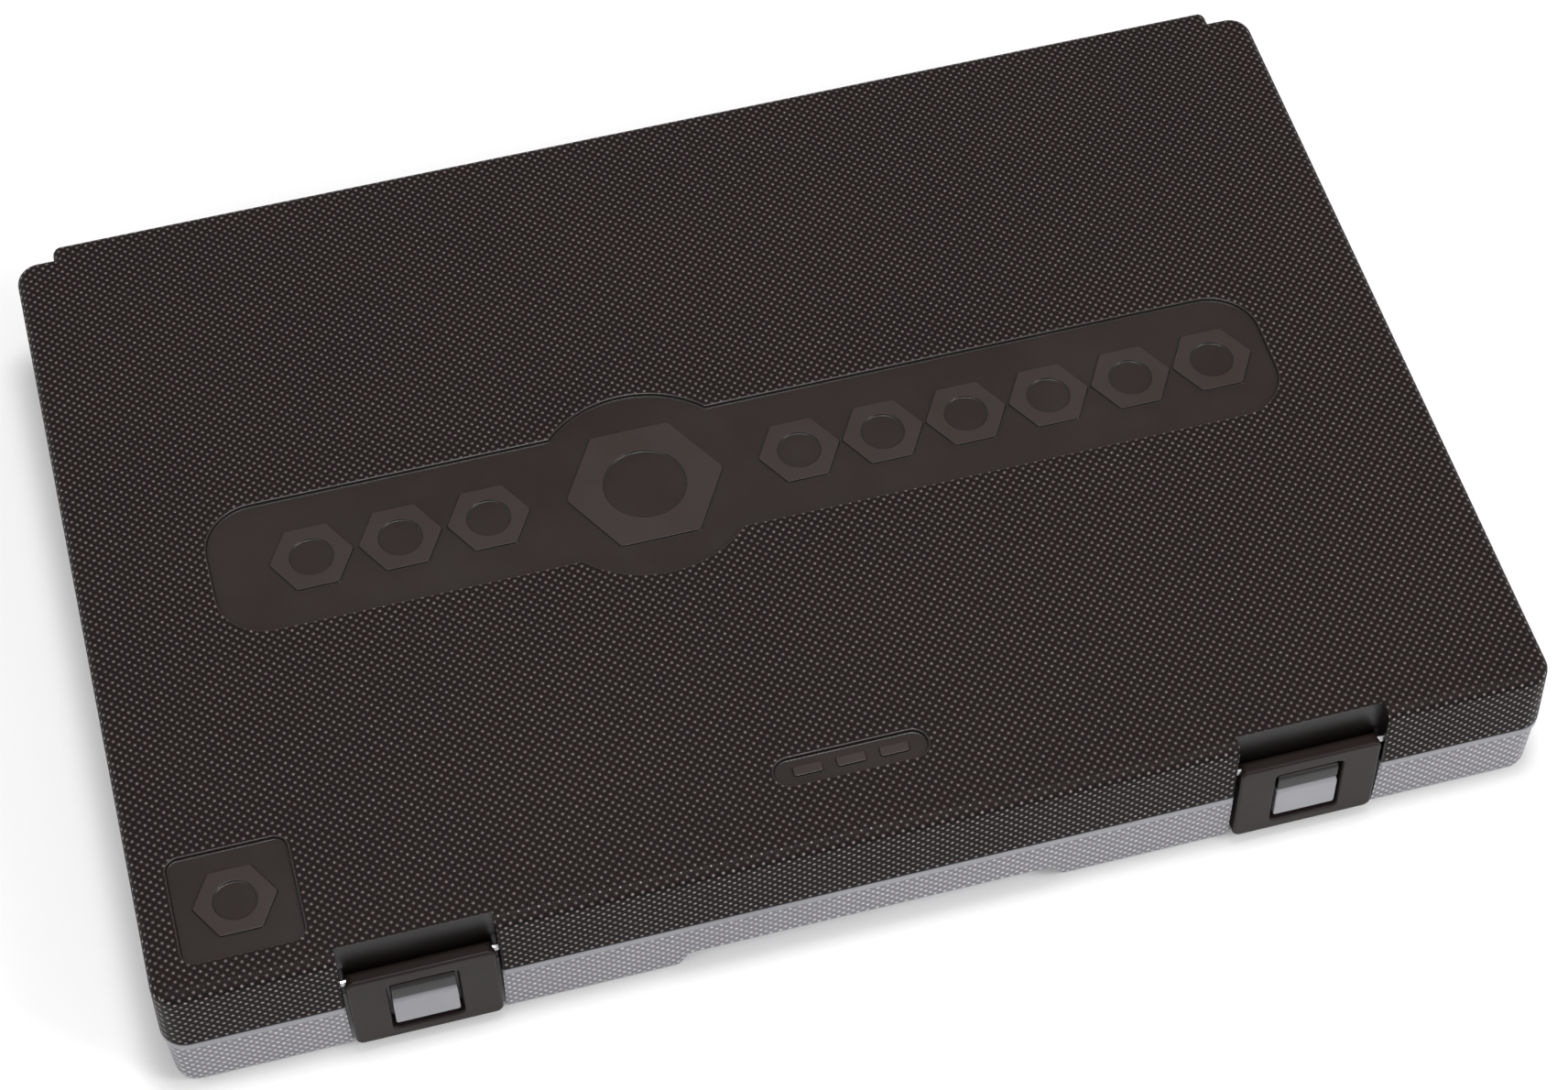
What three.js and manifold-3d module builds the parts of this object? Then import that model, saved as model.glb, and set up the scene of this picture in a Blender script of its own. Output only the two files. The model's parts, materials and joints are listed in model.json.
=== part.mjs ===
// A socket wrench set in a hinged plastic case. Millimetres, +Z up, +X to the right, -Y to the front.
// The origin is the centre of the base's flat underside. The case is drawn shut, with its tools stowed.
import * as THREE from 'three';
import { mergeVertices } from 'three/addons/utils/BufferGeometryUtils.js';
import Module from 'manifold-3d';

const wasm = await Module();
wasm.setup();

// ---------------------------------------------------------------- driving dimensions

const GAP = 0.3; // running gap between pieces

const CASE = {
  width: 320,
  depth: 215.4,
  cornerRadius: 6,
  baseTop: 20, // height of the parting plane
  top: 39.5,
  wall: 2.3,
  rearBulge: 4, // how far the lid's middle stands out behind its corners
  bulgeStep: 9.7, // width of each rear corner beside the bulge
  bulgeFoot: 24, // height where the bulge starts, clear of the hinge
};

const HINGE = {
  y: CASE.depth / 2 + 3.7,
  z: CASE.baseTop,
  knuckleRadius: 3.3,
  pinRadius: 1.35,
  groupX: 95, // centre of each group of knuckles
  knuckles: 5,
  knuckleLength: 16,
  knuckleGap: 0.6,
};

const LATCH = {
  x: 102.3, // centre of each latch
  width: 33.4,
  recessWidth: 35,
  back: -104.3,
  front: -108.1,
  bottom: 3.5,
  pivotY: -105.9,
  pivotZ: 28,
  barrelRadius: 1.6,
  pinRadius: 0.8,
  recessY: -103.9, // the recess's rear wall
  windowWidth: 16,
  windowLow: 6.8,
  windowHigh: 25.6,
  catchWidth: 14.5,
  catchLow: 8.5,
  catchHigh: 18.3,
  catchFront: -107.9,
  catchChamfer: 0.9,
  tongueLow: 18.7, // the lid's tongue stands on the catch, and both fill the latch's window
  tongueHigh: 23.6,
  tongueFront: -107.6,
};

const GRIP = { halfWidth: 42, slope: 5, height: 7.2, y: -100.8 }; // finger recess under the front edge

const BADGE = {
  depth: 0.9,
  figureDrop: 0.4, // how far a raised figure stays below the lid's top
  bannerHalfLength: 128.5,
  bannerHalfHeight: 18.3,
  bannerRadius: 12,
  bannerY: 0.5,
  medallionX: -25.5,
  medallionRadius: 26.5,
  nutRadius: 10,
  cornerX: -138,
  cornerY: -86,
  cornerSize: 27,
  pillX: 0.7,
  pillY: -86.3,
  pillLength: 35.5,
  pillHeight: 7.3,
};

const TRAY = {
  top: 14.5, // below the sockets' axes, so that each one lies in a shallow cradle
  foot: 2.8,
  halfWidth: 155.2,
  front: -101.2,
  rear: 104.2,
  skin: 1.5,
  flangeHalfWidth: 156.8,
  flangeHalfDepth: 104.6,
  flangeThickness: 1.2,
  pocketWall: 1.2,
  pocketFloor: 1.0,
  usableHalfWidth: 150,
};

const LINER = {
  low: 33.2,
  high: 36.8,
  skin: 1.4,
  halfWidth: 152,
  front: -100.2,
  rear: 101.5,
  ribY: [-88, -72, 48, 66, 84], // over the socket rows
  ribHalfLength: 140,
  ribHalfWidth: 1,
  ribDrop: 1.8,
};

const DRIVE = { square: 9.5, hole: 9.7, depth: 11, endRadius: 8.5 };

const SHORT_ROW = {
  sizes: [8, 9, 10, 11, 12, 13, 14, 15, 16, 17, 18, 19],
  length: 29,
  driveY: -94.4,
  facing: 1,
  hexDepth: 14,
};

const DEEP_ROW = {
  sizes: [8, 10, 11, 12, 13, 14, 15, 16, 17, 18, 19],
  plugSizes: [16, 18], // those made to hold a spark plug
  length: 63,
  driveY: 98,
  facing: -1,
  hexDepth: 42,
};

const SOCKET_Z = 17.4; // height of the sockets' axes
const CHANNEL = { shortLow: -64.7, shortHigh: -50.5, deepLow: 20.5, deepHigh: 34.4, floor: 6 };

const BAR = { y: -36, z: 16, longX: -148, longLength: 150, shortX: 14, shortLength: 75, shaftRadius: 6 };

const UJOINT = { x: 124, y: -16, z: 13, swing: 24, reach: 31.5 };

const RATCHET = { x: -131, y: -3, z: 20.8, headRadius: 15.5, thickness: 11.5, length: 192 };

// ---------------------------------------------------------------- materials

const material = (color, roughness, metalness) =>
  new THREE.MeshStandardMaterial({ color, roughness, metalness });

const LID_PLASTIC = material(0x39342f, 0.55, 0);
const BASE_PLASTIC = material(0x98979c, 0.5, 0);
const LATCH_PLASTIC = material(0x2c2725, 0.45, 0);
const TRAY_PLASTIC = material(0x3c3d40, 0.6, 0);
const LINER_PLASTIC = material(0x333437, 0.65, 0);
const CHROME = material(0xc9ccd0, 0.18, 1);
const PIN_STEEL = material(0xa3a6aa, 0.35, 1);
const DARK_STEEL = material(0x55575b, 0.4, 1);
const GRIP_RUBBER = material(0x26282b, 0.8, 0);
const INSERT_RUBBER = material(0x1d1e20, 0.85, 0);

// ---------------------------------------------------------------- solids

// A closed geometry as a solid that can be joined and cut.
function solid(geometry) {
  geometry.deleteAttribute('normal');
  geometry.deleteAttribute('uv');
  const merged = mergeVertices(geometry, 1e-4);
  const corners = merged.index.array;
  const triangles = [];
  for (let i = 0; i < corners.length; i += 3) {
    const [a, b, c] = [corners[i], corners[i + 1], corners[i + 2]];
    if (a !== b && b !== c && c !== a) triangles.push(a, b, c);
  }
  return new wasm.Manifold(
    new wasm.Mesh({
      numProp: 3,
      vertProperties: Float32Array.from(merged.attributes.position.array),
      triVerts: Uint32Array.from(triangles),
    }),
  );
}

function geometryOf(body) {
  const { numProp, vertProperties, triVerts } = body.getMesh();
  const geometry = new THREE.BufferGeometry();
  const positions = new Float32Array((vertProperties.length / numProp) * 3);
  for (let i = 0; i < positions.length / 3; i += 1) {
    positions.set(vertProperties.subarray(i * numProp, i * numProp + 3), i * 3);
  }
  geometry.setAttribute('position', new THREE.BufferAttribute(positions, 3));
  geometry.setIndex(Array.from(triVerts));
  geometry.computeVertexNormals();
  return geometry;
}

const joined = (bodies) => bodies.reduce((sum, body) => sum.add(body));
const cut = (body, tools) => body.subtract(joined(tools));

function box(x0, x1, y0, y1, z0, z1) {
  const geometry = new THREE.BoxGeometry(x1 - x0, y1 - y0, z1 - z0);
  return solid(geometry.translate((x0 + x1) / 2, (y0 + y1) / 2, (z0 + z1) / 2));
}

// A flat outline in X and Y, raised along Z.
function prism(shape, z0, z1, curveSegments = 6) {
  const geometry = new THREE.ExtrudeGeometry(shape, { depth: z1 - z0, bevelEnabled: false, curveSegments });
  return solid(geometry.translate(0, 0, z0));
}

// An outline drawn in X and Z, carried along Y.
function prismY(shape, y0, y1, curveSegments = 6) {
  const geometry = new THREE.ExtrudeGeometry(shape, { depth: y1 - y0, bevelEnabled: false, curveSegments });
  return solid(geometry.rotateX(Math.PI / 2).translate(0, y1, 0));
}

// An outline drawn in Y and Z, carried along X.
function prismX(shape, x0, x1, curveSegments = 6) {
  const geometry = new THREE.ExtrudeGeometry(shape, { depth: x1 - x0, bevelEnabled: false, curveSegments });
  geometry.rotateZ(Math.PI / 2).rotateY(Math.PI / 2);
  return solid(geometry.translate(x0, 0, 0));
}

function rod(axis, radius, from, to, [u, v] = [0, 0], sides = 16) {
  const geometry = new THREE.CylinderGeometry(radius, radius, to - from, sides);
  const middle = (from + to) / 2;
  if (axis === 'x') geometry.rotateZ(-Math.PI / 2).translate(middle, u, v);
  if (axis === 'y') geometry.translate(u, middle, v);
  if (axis === 'z') geometry.rotateX(Math.PI / 2).translate(u, v, middle);
  return solid(geometry);
}

function ball(radius, x, y, z) {
  return solid(new THREE.SphereGeometry(radius, 10, 6).translate(x, y, z));
}

// A turned solid on the Y axis, from [radius, y] pairs that start and end on the axis.
function turned(profile, sides = 12) {
  const points = profile.map(([radius, y]) => new THREE.Vector2(radius, y));
  return solid(new THREE.LatheGeometry(points, sides));
}

function polygon(points) {
  return new THREE.Shape(points.map(([x, y]) => new THREE.Vector2(x, y)));
}

function roundedRectangle(x0, x1, y0, y1, radius) {
  const shape = new THREE.Shape();
  shape.absarc(x1 - radius, y0 + radius, radius, -Math.PI / 2, 0);
  shape.absarc(x1 - radius, y1 - radius, radius, 0, Math.PI / 2);
  shape.absarc(x0 + radius, y1 - radius, radius, Math.PI / 2, Math.PI);
  shape.absarc(x0 + radius, y0 + radius, radius, Math.PI, 1.5 * Math.PI);
  shape.closePath();
  return shape;
}

function regularPolygon(sides, radius, x = 0, y = 0, turn = 0) {
  return polygon(
    Array.from({ length: sides }, (_, i) => {
      const angle = turn + (i * 2 * Math.PI) / sides;
      return [x + radius * Math.cos(angle), y + radius * Math.sin(angle)];
    }),
  );
}

// The tangent outline around two circles on the X axis, the first one at the origin.
function pear(radius, endX, endRadius) {
  const lean = Math.acos((radius - endRadius) / endX);
  const shape = new THREE.Shape();
  shape.absarc(0, 0, radius, lean, 2 * Math.PI - lean);
  shape.absarc(endX, 0, endRadius, -lean, lean);
  shape.closePath();
  return shape;
}

// A solid with the same rounded rectangle at each level, moved in by that level's inset.
function roundedSlab({ x0, x1, y0, y1, radius }, levels, arcSteps = 3) {
  const rings = levels.map(([z, inset]) => {
    const r = Math.max(radius - inset, 0.6);
    const corners = [
      [x1 - inset - r, y0 + inset + r, -Math.PI / 2],
      [x1 - inset - r, y1 - inset - r, 0],
      [x0 + inset + r, y1 - inset - r, Math.PI / 2],
      [x0 + inset + r, y0 + inset + r, Math.PI],
    ];
    return corners.flatMap(([cx, cy, start]) =>
      Array.from({ length: arcSteps + 1 }, (_, i) => {
        const angle = start + (i * Math.PI) / 2 / arcSteps;
        return [cx + r * Math.cos(angle), cy + r * Math.sin(angle), z];
      }),
    );
  });
  const count = rings[0].length;
  const positions = rings.flat(2);
  const indices = [];
  for (let level = 0; level < rings.length - 1; level += 1) {
    for (let i = 0; i < count; i += 1) {
      const a = level * count + i;
      const b = level * count + ((i + 1) % count);
      indices.push(a, b, b + count, a, b + count, a + count);
    }
  }
  const last = (rings.length - 1) * count;
  for (let i = 1; i < count - 1; i += 1) {
    indices.push(0, i + 1, i);
    indices.push(last, last + i, last + i + 1);
  }
  const geometry = new THREE.BufferGeometry();
  geometry.setAttribute('position', new THREE.Float32BufferAttribute(positions, 3));
  geometry.setIndex(indices);
  return solid(geometry);
}

// ---------------------------------------------------------------- the tree

const socketSet = new THREE.Group();

function group(parent, x = 0, y = 0, z = 0) {
  const place = new THREE.Group();
  place.position.set(x, y, z);
  parent.add(place);
  return place;
}

function add(parent, name, body, surface, [x, y, z] = [0, 0, 0]) {
  const mesh = new THREE.Mesh(geometryOf(body), surface);
  mesh.name = name;
  mesh.position.set(x, y, z);
  parent.add(mesh);
  return mesh;
}

// ---------------------------------------------------------------- the case

const HALF_W = CASE.width / 2;
const HALF_D = CASE.depth / 2;
const BASE_RIM = CASE.baseTop - GAP / 2;
const LID_RIM = CASE.baseTop + GAP / 2;
const LATCH_CENTRES = { left: -LATCH.x, right: LATCH.x };

const footprint = (inset, radius) => ({
  x0: -HALF_W + inset,
  x1: HALF_W - inset,
  y0: -HALF_D + inset,
  y1: HALF_D - inset,
  radius,
});

const bulgeFootprint = (inset, radius) => ({
  x0: -HALF_W + CASE.bulgeStep + inset,
  x1: HALF_W - CASE.bulgeStep - inset,
  y0: 0,
  y1: HALF_D + CASE.rearBulge - inset,
  radius,
});

// Each latch hangs in a recess through the front of both shells. The guard keeps wall behind it.
function latchSpaces(halfWidth, rearY, z0, z1) {
  const frontY = -HALF_D - 5;
  return Object.values(LATCH_CENTRES).map((x) => box(x - halfWidth, x + halfWidth, frontY, rearY, z0, z1));
}

function knuckles(owner, z0, z1) {
  const { groupX, knuckles: count, knuckleLength, knuckleGap, knuckleRadius, y, z } = HINGE;
  const pitch = knuckleLength + knuckleGap;
  const bodies = [];
  const bores = [];
  for (const centre of [-groupX, groupX]) {
    for (let i = owner === 'base' ? 0 : 1; i < count; i += 2) {
      const x0 = centre + (i - (count - 1) / 2) * pitch - knuckleLength / 2;
      const x1 = x0 + knuckleLength;
      bodies.push(rod('x', knuckleRadius, x0, x1, [y, z]));
      bodies.push(box(x0, x1, HALF_D - 1.3, y, z0, z1));
      bores.push(rod('x', HINGE.pinRadius + GAP, x0 - 1, x1 + 1, [y, z], 12));
    }
  }
  return { bodies, bores };
}

function baseShell() {
  const floor = CASE.wall;
  const outer = roundedSlab(footprint(0, CASE.cornerRadius), [
    [0, 4.6],
    [0.8, 2.7],
    [2.4, 1.5],
    [4.8, 1.0],
    [18.1, 0.4],
    [18.1, 0],
    [BASE_RIM, 0],
  ]);
  const inner = roundedSlab(footprint(CASE.wall, CASE.cornerRadius - 2), [
    [floor, 3.4],
    [floor + 1, 2],
    [floor + 2.4, 1.3],
    [BASE_RIM + 1, 0],
  ]);
  const guardHalf = GRIP.halfWidth + 8;
  const guardTop = GRIP.height + CASE.wall;
  const gripGuard = box(-guardHalf, guardHalf, -HALF_D - 2, GRIP.y + CASE.wall, -1, guardTop);
  const guards = latchSpaces(LATCH.recessWidth / 2 + 3.5, LATCH.recessY + 2.2, -1, BASE_RIM + 2);
  const hollow = cut(inner, [gripGuard, ...guards]);
  const gripShape = polygon([
    [-GRIP.halfWidth - GRIP.slope, -0.5],
    [GRIP.halfWidth + GRIP.slope, -0.5],
    [GRIP.halfWidth, GRIP.height],
    [-GRIP.halfWidth, GRIP.height],
  ]);
  const gripRecess = prismY(gripShape, -HALF_D - 2, GRIP.y);
  const hinge = knuckles('base', HINGE.z - HINGE.knuckleRadius, HINGE.z - GAP);
  const catches = Object.values(LATCH_CENTRES).map((x) => {
    const outline = polygon([
      [LATCH.recessY + 0.6, LATCH.catchLow],
      [LATCH.recessY + 0.6, LATCH.catchHigh],
      [LATCH.catchFront + LATCH.catchChamfer, LATCH.catchHigh],
      [LATCH.catchFront, LATCH.catchHigh - LATCH.catchChamfer],
      [LATCH.catchFront, LATCH.catchLow],
    ]);
    return prismX(outline, x - LATCH.catchWidth / 2, x + LATCH.catchWidth / 2);
  });
  const recesses = latchSpaces(LATCH.recessWidth / 2, LATCH.recessY, -1, BASE_RIM + 2);
  const shell = cut(outer, [hollow, gripRecess, ...recesses]);
  return cut(joined([shell, ...catches, ...hinge.bodies]), hinge.bores);
}

// The lid's tongues reach down over the parting plane, clear of the base's recess.
function tongues() {
  const { recessY, tongueLow, tongueHigh, tongueFront, catchWidth, catchChamfer } = LATCH;
  const outline = polygon([
    [tongueFront, tongueLow],
    [recessY - GAP, tongueLow],
    [recessY - GAP, LID_RIM],
    [recessY + 0.6, LID_RIM],
    [recessY + 0.6, tongueHigh],
    [tongueFront + catchChamfer, tongueHigh],
    [tongueFront, tongueHigh - catchChamfer],
  ]);
  const half = catchWidth / 2;
  return Object.values(LATCH_CENTRES).map((x) => prismX(outline, x - half, x + half));
}

// A raised hexagon nut, seen from above: its flats outside and a round hole in it.
function nutShape(x, y, radius) {
  const shape = regularPolygon(6, radius, x, y);
  shape.holes.push(new THREE.Path(regularPolygon(8, radius * 0.52, x, y).getPoints()));
  return shape;
}

// The sunk panels in the lid's top and the plain figures that stand up in them.
function badges() {
  const { bannerHalfLength: half, bannerHalfHeight: rise, bannerY, medallionX, nutRadius } = BADGE;
  const panels = [
    roundedRectangle(-half, half, bannerY - rise, bannerY + rise, BADGE.bannerRadius),
    regularPolygon(24, BADGE.medallionRadius, medallionX, bannerY),
    roundedRectangle(
      BADGE.cornerX - BADGE.cornerSize / 2,
      BADGE.cornerX + BADGE.cornerSize / 2,
      BADGE.cornerY - BADGE.cornerSize / 2,
      BADGE.cornerY + BADGE.cornerSize / 2,
      3,
    ),
    roundedRectangle(
      BADGE.pillX - BADGE.pillLength / 2,
      BADGE.pillX + BADGE.pillLength / 2,
      BADGE.pillY - BADGE.pillHeight / 2,
      BADGE.pillY + BADGE.pillHeight / 2,
      BADGE.pillHeight / 2 - 0.05,
    ),
  ];
  const figures = [
    nutShape(medallionX, bannerY, 19),
    nutShape(BADGE.cornerX, BADGE.cornerY, 9.5),
    ...[-105, -84, -63].map((x) => nutShape(x, bannerY, nutRadius)),
    ...Array.from({ length: 6 }, (_, i) => nutShape(12 + i * 20.5, bannerY, nutRadius)),
    ...[-10, 0, 10].map((dx) =>
      polygon([
        [BADGE.pillX + dx - 3.4, BADGE.pillY - 1.3],
        [BADGE.pillX + dx + 3.4, BADGE.pillY - 1.3],
        [BADGE.pillX + dx + 3.4, BADGE.pillY + 1.3],
        [BADGE.pillX + dx - 3.4, BADGE.pillY + 1.3],
      ]),
    ),
  ];
  const floor = CASE.top - BADGE.depth;
  const sunk = joined(panels.map((shape) => prism(shape, floor, CASE.top + 1, 4)));
  const raised = figures.map((shape) => prism(shape, floor - 0.5, CASE.top - BADGE.figureDrop));
  return cut(sunk, raised);
}

function lidShell() {
  const crown = [
    [CASE.top - 2.8, 0.42],
    [CASE.top - 1.3, 0.95],
    [CASE.top - 0.4, 1.85],
    [CASE.top, 3.1],
  ];
  const innerTop = CASE.top - CASE.wall;
  const innerCrown = [
    [innerTop - 3, 0.45],
    [innerTop - 0.8, 1.4],
    [innerTop, 3],
  ];
  const outer = roundedSlab(footprint(0, CASE.cornerRadius), [[LID_RIM, 0], ...crown]);
  const bulge = roundedSlab(bulgeFootprint(0, 2.5), [[CASE.bulgeFoot, 0], ...crown], 3);
  const inner = roundedSlab(footprint(CASE.wall, CASE.cornerRadius - 2), [[LID_RIM - 1, 0], ...innerCrown]);
  const innerBulge = roundedSlab(
    bulgeFootprint(CASE.wall, 1.5),
    [[CASE.bulgeFoot + CASE.wall, 0], ...innerCrown],
    2,
  );
  const guards = latchSpaces(LATCH.recessWidth / 2 + 3.5, LATCH.recessY + 2.2, LID_RIM - 2, CASE.top + 1);
  const hollow = cut(inner.add(innerBulge), guards);
  const recesses = latchSpaces(LATCH.recessWidth / 2, LATCH.recessY, LID_RIM - 2, CASE.top + 1);
  const pinHoles = Object.values(LATCH_CENTRES).map((x) => {
    const reach = LATCH.recessWidth / 2 + 2.7;
    return rod('x', LATCH.pinRadius + GAP, x - reach, x + reach, [LATCH.pivotY, LATCH.pivotZ], 10);
  });
  const hinge = knuckles('lid', HINGE.z + GAP, HINGE.z + HINGE.knuckleRadius);
  const shell = cut(outer.add(bulge), [hollow, badges(), ...recesses, ...pinHoles]);
  return cut(joined([shell, ...tongues(), ...hinge.bodies]), hinge.bores);
}

function latchPlate() {
  const { back, front, bottom, pivotY, pivotZ, barrelRadius, width } = LATCH;
  const side = new THREE.Shape();
  side.moveTo(back, bottom + 0.8);
  side.absarc(pivotY, pivotZ, barrelRadius, 0, Math.PI / 2);
  side.lineTo(front + 0.6, pivotZ + barrelRadius);
  side.lineTo(front, pivotZ + barrelRadius - 0.6);
  side.lineTo(front, bottom + 0.8);
  side.lineTo(front + 0.8, bottom);
  side.lineTo(back - 0.8, bottom);
  side.closePath();
  const face = roundedRectangle(-width / 2, width / 2, bottom - 0.01, pivotZ + barrelRadius + 0.01, 1.6);
  const { windowWidth, windowLow, windowHigh } = LATCH;
  const window = roundedRectangle(-windowWidth / 2, windowWidth / 2, windowLow, windowHigh, 1);
  const plate = prismX(side, -width / 2, width / 2).intersect(prismY(face, front - 1, back + 1, 3));
  return cut(plate, [
    prismY(window, front - 2, back + 2, 3),
    rod('x', LATCH.pinRadius + GAP, -width, width, [pivotY, pivotZ], 10),
  ]);
}

function addCase() {
  const base = group(socketSet);
  add(base, 'base_shell', baseShell(), BASE_PLASTIC);
  const pinHalf = (HINGE.knuckles * (HINGE.knuckleLength + HINGE.knuckleGap)) / 2 - 1;
  for (const [side, x] of [['left', -HINGE.groupX], ['right', HINGE.groupX]]) {
    const pin = rod('x', HINGE.pinRadius, -pinHalf, pinHalf, [0, 0], 12);
    add(base, `hinge_pin_${side}`, pin, PIN_STEEL, [x, HINGE.y, HINGE.z]);
  }
  const lid = group(socketSet);
  add(lid, 'lid_shell', lidShell(), LID_PLASTIC);
  for (const [side, x] of Object.entries(LATCH_CENTRES)) {
    add(lid, `latch_${side}`, latchPlate(), LATCH_PLASTIC, [x, 0, 0]);
    const reach = LATCH.recessWidth / 2 + 2.4;
    const pin = rod('x', LATCH.pinRadius, -reach, reach, [0, 0], 10);
    add(lid, `latch_pin_${side}`, pin, PIN_STEEL, [x, LATCH.pivotY, LATCH.pivotZ]);
  }
  add(lid, 'lid_liner', lidLiner(), LINER_PLASTIC);
}

// A shallow moulded panel inside the lid. Its ribs stand over the socket rows.
function lidLiner() {
  const { low, high, skin, halfWidth, front, rear } = LINER;
  const area = { x0: -halfWidth, x1: halfWidth, y0: front, y1: rear, radius: 5 };
  const inside = { ...area, x0: skin - halfWidth, x1: halfWidth - skin, y0: front + skin, y1: rear - skin };
  const pan = roundedSlab(area, [[low, 1.2], [low + 1.2, 0], [high, 0]], 3);
  const hollow = roundedSlab({ ...inside, radius: 4 }, [[low + skin, 0], [high + 1, 0]], 3);
  const ribs = LINER.ribY.map((y) => {
    const { ribHalfLength: reach, ribHalfWidth: half, ribDrop } = LINER;
    return box(-reach, reach, y - half, y + half, low - ribDrop, low + 0.5);
  });
  return joined([cut(pan, [hollow]), ...ribs]);
}

// ---------------------------------------------------------------- sockets

// The outside of a socket widens with its hexagon, and never gets thinner than its drive end.
function socketSize(size) {
  const noseRadius = (1.27 * size + 2.2) / 2;
  const driveRadius = Math.max(DRIVE.endRadius, 0.84 * noseRadius);
  return { noseRadius, driveRadius, radius: Math.max(noseRadius, driveRadius) };
}

const PLUG_SLEEVE = { length: 10, holeRadius: 4.6 };

const isPlug = (row, size) => Boolean(row.plugSizes?.includes(size));

// Sockets side by side across the tray, with the same gap between neighbours.
function rowPlaces(row) {
  const sizes = row.sizes.map((size) => ({ size, ...socketSize(size) }));
  const taken = sizes.reduce((sum, { radius }) => sum + 2 * radius, 0);
  const gap = (2 * TRAY.usableHalfWidth - taken) / sizes.length;
  let edge = -TRAY.usableHalfWidth + gap / 2;
  return sizes.map((socket) => {
    const x = edge + socket.radius;
    edge += 2 * socket.radius + gap;
    return { ...socket, x };
  });
}

const SHORT_PLACES = rowPlaces(SHORT_ROW);
const DEEP_PLACES = rowPlaces(DEEP_ROW);

// A socket on the Y axis: its square drive at y = 0 and its hexagon's mouth at y = length.
function socketBody({ size, noseRadius, driveRadius }, length, hexDepth) {
  const shoulder = DRIVE.depth + 1;
  const outside = turned([
    [0, 0],
    [driveRadius, 0],
    [driveRadius, shoulder],
    [noseRadius, shoulder + 2],
    [noseRadius, length],
    [0, length],
  ]);
  const hexagon = regularPolygon(6, (size + 0.1) / Math.sqrt(3));
  const half = DRIVE.hole / 2;
  return cut(outside, [
    box(-half, half, -1, DRIVE.depth, -half, half),
    rod('y', Math.min(4.3, 0.47 * size), DRIVE.depth - 1, length - hexDepth + 1, [0, 0], 8),
    prismY(hexagon, length - hexDepth, length + 1),
  ]);
}

// The rubber sleeve that holds a spark plug in its socket.
function plugSleeve(size) {
  const { length, holeRadius } = PLUG_SLEEVE;
  const outside = rod('y', size / 2 - GAP, 0, length, [0, 0], 18);
  return cut(outside, [rod('y', holeRadius, -1, length + 1, [0, 0], 12)]);
}

function addSockets(row, places, kind) {
  const rack = group(socketSet);
  for (const place of places) {
    const plug = isPlug(row, place.size);
    const number = String(place.size).padStart(2, '0');
    const name = plug ? `spark_plug_socket_${number}` : `socket_${kind}_${number}`;
    const socket = add(rack, name, socketBody(place, row.length, row.hexDepth), CHROME);
    socket.position.set(place.x, row.driveY, SOCKET_Z);
    if (row.facing < 0) socket.rotation.z = Math.PI;
    if (!plug) continue;
    const insert = add(rack, `spark_plug_insert_${number}`, plugSleeve(place.size), INSERT_RUBBER);
    insert.position.set(place.x, row.driveY - row.length + row.hexDepth - 0.5, SOCKET_Z);
    insert.rotation.z = Math.PI;
  }
}

// ---------------------------------------------------------------- drive pieces

// The spring ball in each male square, and the seat that it stands in.
const BALL = { radius: 1.6, rise: 0.6, fromEnd: 4.2 };

function ballSeat(y) {
  return rod('z', BALL.radius + 0.2, 0.2, DRIVE.square, [0, y], 10);
}

function femaleDrive(y0, y1) {
  const half = DRIVE.hole / 2;
  return box(-half, half, y0, y1, -half, half);
}

// An extension bar on the Y axis: the female end at y = 0 and the male square at y = length.
function extensionBar(length) {
  const squareFrom = length - 11;
  const { shaftRadius } = BAR;
  const bar = turned([
    [0, 0],
    [DRIVE.endRadius - 0.8, 0],
    [DRIVE.endRadius, 0.8],
    [DRIVE.endRadius, 15],
    [shaftRadius, 19],
    [shaftRadius, squareFrom - 3],
    [shaftRadius + 0.9, squareFrom - 1.5],
    [shaftRadius + 0.4, squareFrom],
    [0, squareFrom],
  ]);
  const square = solid(new THREE.BoxGeometry(DRIVE.square, 12, DRIVE.square).translate(0, length - 6, 0));
  return cut(bar.add(square), [femaleDrive(-1, DRIVE.depth), ballSeat(length - BALL.fromEnd)]);
}

function addExtensions() {
  const rack = group(socketSet, 0, BAR.y, BAR.z);
  for (const [name, x, length] of [
    ['long', BAR.longX, BAR.longLength],
    ['short', BAR.shortX, BAR.shortLength],
  ]) {
    const bar = add(rack, `extension_bar_${name}`, extensionBar(length), CHROME, [x, 0, 0]);
    bar.rotation.z = -Math.PI / 2;
    const lift = DRIVE.square / 2 - BALL.radius + BALL.rise;
    const pearl = ball(BALL.radius, x + length - BALL.fromEnd, 0, lift);
    add(rack, `extension_ball_${name}`, pearl, PIN_STEEL);
  }
}

// The universal joint, about its pivots: the fixed yoke reaches to -Y and the free one to +Y.
const YOKE = { earWidth: 8.4, earIn: 5.3, earOut: 8.2, hub: 10, pinRadius: 2.1 };

// Ears stand off each side of the pivot along one axis, and their ends are round about it.
function yokeEars(axis, towards) {
  const { earWidth, earIn, earOut, hub } = YOKE;
  const half = earWidth / 2;
  const [y0, y1] = towards < 0 ? [-hub - 0.5, 0] : [0, hub + 0.5];
  const ears = [];
  for (const [inner, outer] of [[-earOut, -earIn], [earIn, earOut]]) {
    ears.push(rod(axis, half, inner, outer, [0, 0], 16));
    if (axis === 'z') ears.push(box(-half, half, y0, y1, inner, outer));
    if (axis === 'x') ears.push(box(inner, outer, y0, y1, -half, half));
  }
  return ears;
}

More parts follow.
